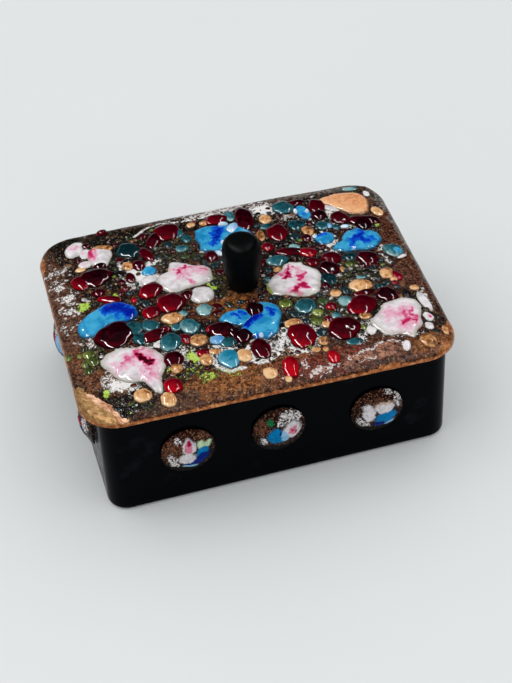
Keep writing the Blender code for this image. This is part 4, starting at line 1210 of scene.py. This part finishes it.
# Each disc's patches, painted in turn: colour, x, y, half length, half width, turn in degrees.
# A turn is followed by "glass" where the patch is a smooth lump and by "frit" where it is broken white
# grains. The x axis runs along the wall as seen from outside.
DISC_PATCHES = {
    "front_1": ((GOLD, -4.6, 2.4, 3.4, 4, 0), (BROWN, 1, 6.4, 6, 2, 0), (GOLD, 5, 4.6, 2, 1.6, -40),
        (FRIT, -4.6, -1, 1.6, 2.4, 20, "frit"), (FRIT, -4.6, -3.2, 1.8, 1, 0, "frit"),
        (FRIT, -2.8, 5.2, 1.2, 1.2, 0, "frit"), (MINT, 3.5, 2.8, 1.3, 1.3, 0, "glass"),
        (MINT, 5.4, 2, 1.2, 1.2, 0, "glass"), (SKY, 3.7, 0.2, 1.9, 1.8, 30, "glass"),
        (DEEP, 3.2, -2, 2.7, 2.1, 30, "glass"), (DEEP, 0.4, -2.8, 2, 0.9, 10, "glass"),
        (WHITE, 0, 3, 1.9, 2.6, 0, "glass"), (PINK, -0.2, 3, 1.1, 1.8, 0, "glass"),
        (MAGENTA, 0.2, 4.3, 0.7, 0.8, 0, "glass"), (WHITE, -0.9, -0.8, 2.5, 1.8, 10, "glass"),
        (ICE, 0.2, -4.3, 2.6, 0.7, -20, "glass")),
    "front_2": ((GOLD, -5.4, 2.8, 1.9, 2.6, 0), (BROWN, 2, 6.6, 5, 1.4, 0), (BROWN, 6.8, 1, 1, 2.6, 0),
        (FRIT, 2.2, 5.2, 2.8, 1.8, 0, "frit"), (FRIT, 5, 4.2, 1.8, 1.8, 0, "frit"),
        (FRIT, 0.2, 3.6, 1.2, 1, 0, "frit"), (FRIT, -4.8, -2.2, 1.2, 1.8, 0, "frit"),
        (FERN, -2.8, 4.4, 1.1, 1, 0, "glass"), (SKY, -1.2, -0.6, 2.8, 2.8, 0, "glass"),
        (DEEP, -0.1, 0.7, 0.8, 0.7, 0, "glass"), (WHITE, 3.4, 0.5, 2.7, 3, 15, "glass"),
        (ICE, 0.9, -1, 1.1, 2.2, 10, "glass"), (PINK, 3.6, 0.4, 1.3, 1.5, 30, "glass"),
        (MAGENTA, 3.2, 0.9, 0.5, 0.5, 0, "glass"), (MAGENTA, 4.3, -0.2, 0.6, 0.5, 0, "glass")),
    "front_3": ((BROWN, -3, 4.4, 4.4, 3, 10), (GOLD, -0.8, 5, 1.8, 0.9, 0), (BROWN, 3, 6, 4, 1.6, -20),
        (FRIT, 5.9, 3.2, 1.3, 3.2, 10, "frit"), (FRIT, 3.4, 6.5, 1.8, 0.9, -20, "frit"),
        (FRIT, -5, -2.8, 1.4, 2.6, 20, "frit"), (FRIT, -3.4, -3.8, 1, 1.2, 0, "frit"),
        (CREAM, 1.6, 2.8, 3, 1.3, -10, "glass"), (WHITE, 1.6, 1.9, 3.2, 1.5, -8, "glass"),
        (SKY, 2, -1.7, 3.3, 2.5, 0, "glass"), (DEEP, 0.2, -3.6, 1.7, 1.1, 0, "glass"),
        (ICE, 3.4, -4.4, 1.6, 0.8, 10, "glass"), (WHITE, -3, 1, 1.8, 3, 5, "glass")),
    "left_1": ((FRIT, 3, 3, 3.4, 3, 0, "frit"), (ICE, 4.2, 1, 2.6, 3.4, 0, "glass"),
        (BROWN, -3, 3, 3, 3, 0), (MAGENTA, 0.4, 0.6, 1.8, 1.6, 0, "glass"),
        (SKY, 0.6, -3, 4, 2.2, 0, "glass")),
    "left_2": ((ICE, 0, 5, 4, 1.8, 0, "glass"), (FRIT, 4, 1, 2, 3, 0, "frit"), (GOLD, -4, 1.4, 2.6, 3, 0),
        (MAGENTA, 0.6, 0.2, 1.8, 1.4, 0, "glass"), (DEEP, -1, -3, 4, 2.2, 0, "glass")),
    "right_1": ((GOLD, -4, 2, 3, 4, 0), (FRIT, 3.6, 3.8, 2.4, 2, 0, "frit"),
        (WHITE, 0.6, 1.6, 2.6, 2.4, 0, "glass"), (PINK, 0.8, 1.8, 1, 1, 0, "glass"),
        (SKY, 1.6, -2.6, 3, 1.8, 10, "glass")),
    "right_2": ((BROWN, 3, 2, 3, 4, 0), (FRIT, -4.4, -1, 1.6, 2.6, 0, "frit"),
        (SKY, -1.6, 1.6, 2.6, 2.6, 0, "glass"), (WHITE, 1.6, -1.6, 2.6, 1.9, 0, "glass")),
    "back_1": ((GOLD, 3, 3, 3, 3, 0), (FRIT, -3.8, 3.4, 2, 2, 0, "frit"),
        (WHITE, -0.6, 0.6, 3, 2.2, 20, "glass"), (PINK, -0.8, 0.8, 1, 1, 0, "glass"),
        (SKY, 1, -2.9, 2.8, 1.7, 0, "glass")),
    "back_2": ((GOLD, 4, -1, 2, 3.6, 0), (FRIT, -3, 3, 2.8, 2.6, 0, "frit"),
        (SKY, 0.8, 0.4, 3, 2.6, 0, "glass"), (DEEP, 1.2, 0.6, 1, 1, 0, "glass")),
    "back_3": ((BROWN, -4, 2, 3, 3.6, 0), (FRIT, 4.2, -0.6, 1.6, 2.8, 0, "frit"),
        (FERN, 2.2, 3.8, 1.4, 1.2, 0, "glass"), (WHITE, -0.4, -0.6, 2.8, 2.4, 0, "glass"),
        (MAGENTA, -0.4, -0.4, 0.9, 0.8, 0, "glass")),
}
# Which way each wall faces
OUTWARD = {"front": (0, -1, 0), "back": (0, 1, 0), "left": (-1, 0, 0), "right": (1, 0, 0)}
# Softness of the edges of lumps and of other patches, as a share of their size
LUMP_SOFTNESS, PATCH_SOFTNESS = 0.14, 0.35
# Height of the lumps and of the grains, and how far the dome between them sinks
LUMP_RISE, GRAIN_RISE, DOME_SINK = 0.3, 0.06, 0.34


def dress_disc(x, y, patches, seed):
    """The values painted on a disc, painted shade on its lower part among them, and how far its lumps and
    grains change its height.
    """
    warp_x, warp_y = np.array([
        [0.5 * rough(a, b, 1.4, first) + 0.3 * rough(a, b, 0.6, second) for a, b in zip(x, y)]
        for first, second in ((seed, seed + 3), (seed + 2, seed + 4))])
    grade = np.array([0.5 + 0.5 * rough(a, b, 0.9, seed + 1) for a, b in zip(x, y)])
    paint = painted_tone(DUSK) * (1 - 0.2 * grade[:, None]) + painted_tone(GOLD) * 0.2 * grade[:, None]
    grainy, frit, hump = np.ones(len(x)), np.zeros(len(x)), np.zeros(len(x))
    for colour, cx, cy, rx, ry, turn, *kind in patches:
        c, s = math.cos(math.radians(turn)), math.sin(math.radians(turn))
        dx, dy = x + warp_x - cx, y + warp_y - cy
        away = np.hypot((c * dx + s * dy) / rx, (c * dy - s * dx) / ry)
        softness = LUMP_SOFTNESS if kind == ["glass"] else PATCH_SOFTNESS
        mask = np.clip((1 + softness - away) / (2 * softness), 0, 1)
        if kind == ["frit"]:
            frit = np.maximum(frit, 0.66 * mask)
            continue
        paint += (painted_tone(colour) - paint) * mask[:, None]
        grainy = grainy * (1 - mask) + (0.0 if kind else 1.0) * mask
        if kind:
            frit = frit * (1 - mask)
            hump = np.maximum(hump, np.sqrt(np.clip(1 - away ** 2.5, 0, 1)))
    far = np.hypot(x, y)
    # Painted shade: black over the outer ring, most at the bottom, and over the lower part; frit and glints
    # are left out there
    shade = np.clip((far - 6.4) / 1.0, 0, 1) * np.clip(0.55 - y / 8, 0, 1)
    shade = np.maximum(shade, np.clip((-4.4 - y - 0.5 * x / 7 + 0.8 * (grade - 0.5)) / 0.8, 0, 1))
    paint += (painted_tone(SHADE_BLACK) - paint) * shade[:, None]
    frit, lit = frit * (1 - shade), grainy * (1 - shade)
    fall = np.clip((DISC_RADIUS - far) / 1.5, 0, 1)
    lift = (LUMP_RISE * hump - DOME_SINK + GRAIN_RISE * (grade - 0.5)) * fall
    return {"paint": paint, "grainy": grainy, "frit": frit, "lit": lit}, lift


def make_discs():
    """The domed discs, each on its wall where its solid is."""
    finish = disc_finish()
    rise = DISC_RISE - DISC_EDGE
    sphere = (DISC_RADIUS ** 2 + rise ** 2) / (2 * rise)
    rings = 44
    profile = [(0.0, 0.0), (DISC_RADIUS - 0.15, 0.0), (DISC_RADIUS, 0.15), (DISC_RADIUS, DISC_EDGE - 0.1)]
    for step in range(1, rings):
        radius = DISC_RADIUS * (1 - step / rings)
        profile.append((radius, DISC_RISE - sphere + math.sqrt(sphere ** 2 - radius ** 2)))
    profile.append((0.0, DISC_RISE))
    plain, faces = lathe(profile, steps=120)
    x, y, height = plain.T
    for number, (name, patches) in enumerate(DISC_PATCHES.items()):
        paints, lift = dress_disc(x, y, patches, 20.0 + 5 * number)
        low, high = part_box("disc_" + name)
        out = np.array(OUTWARD[name.split("_")[0]], float)
        along, up = np.array((-out[1], out[0], 0.0)), np.array((0.0, 0.0, 1.0))
        wall = np.array((low + high) / 2 / MM) - out * DISC_RISE / 2
        raised = height + np.where(height > DISC_EDGE, lift, 0.0)
        placed = wall + x[:, None] * along + y[:, None] * up + raised[:, None] * out
        make_piece("disc_dome_" + name, placed, faces, [finish], "disc_" + name, paints)


def make_floor():
    """The floor under the box, which is only there for the picture."""
    mesh = bpy.data.meshes.new("floor")
    mesh.from_pydata([(-3, -3, 0), (3, -3, 0), (3, 3, 0), (-3, 3, 0)], [], [(0, 1, 2, 3)])
    mesh.materials.append(floor_finish())
    floor = bpy.data.objects.new("floor", mesh)
    bpy.context.scene.collection.objects.link(floor)
    floor.location.z = -0.0001


make_camera()
make_light()
make_floor()
make_box()
make_knob()
make_lid()
make_chips(make_glass())
make_discs()
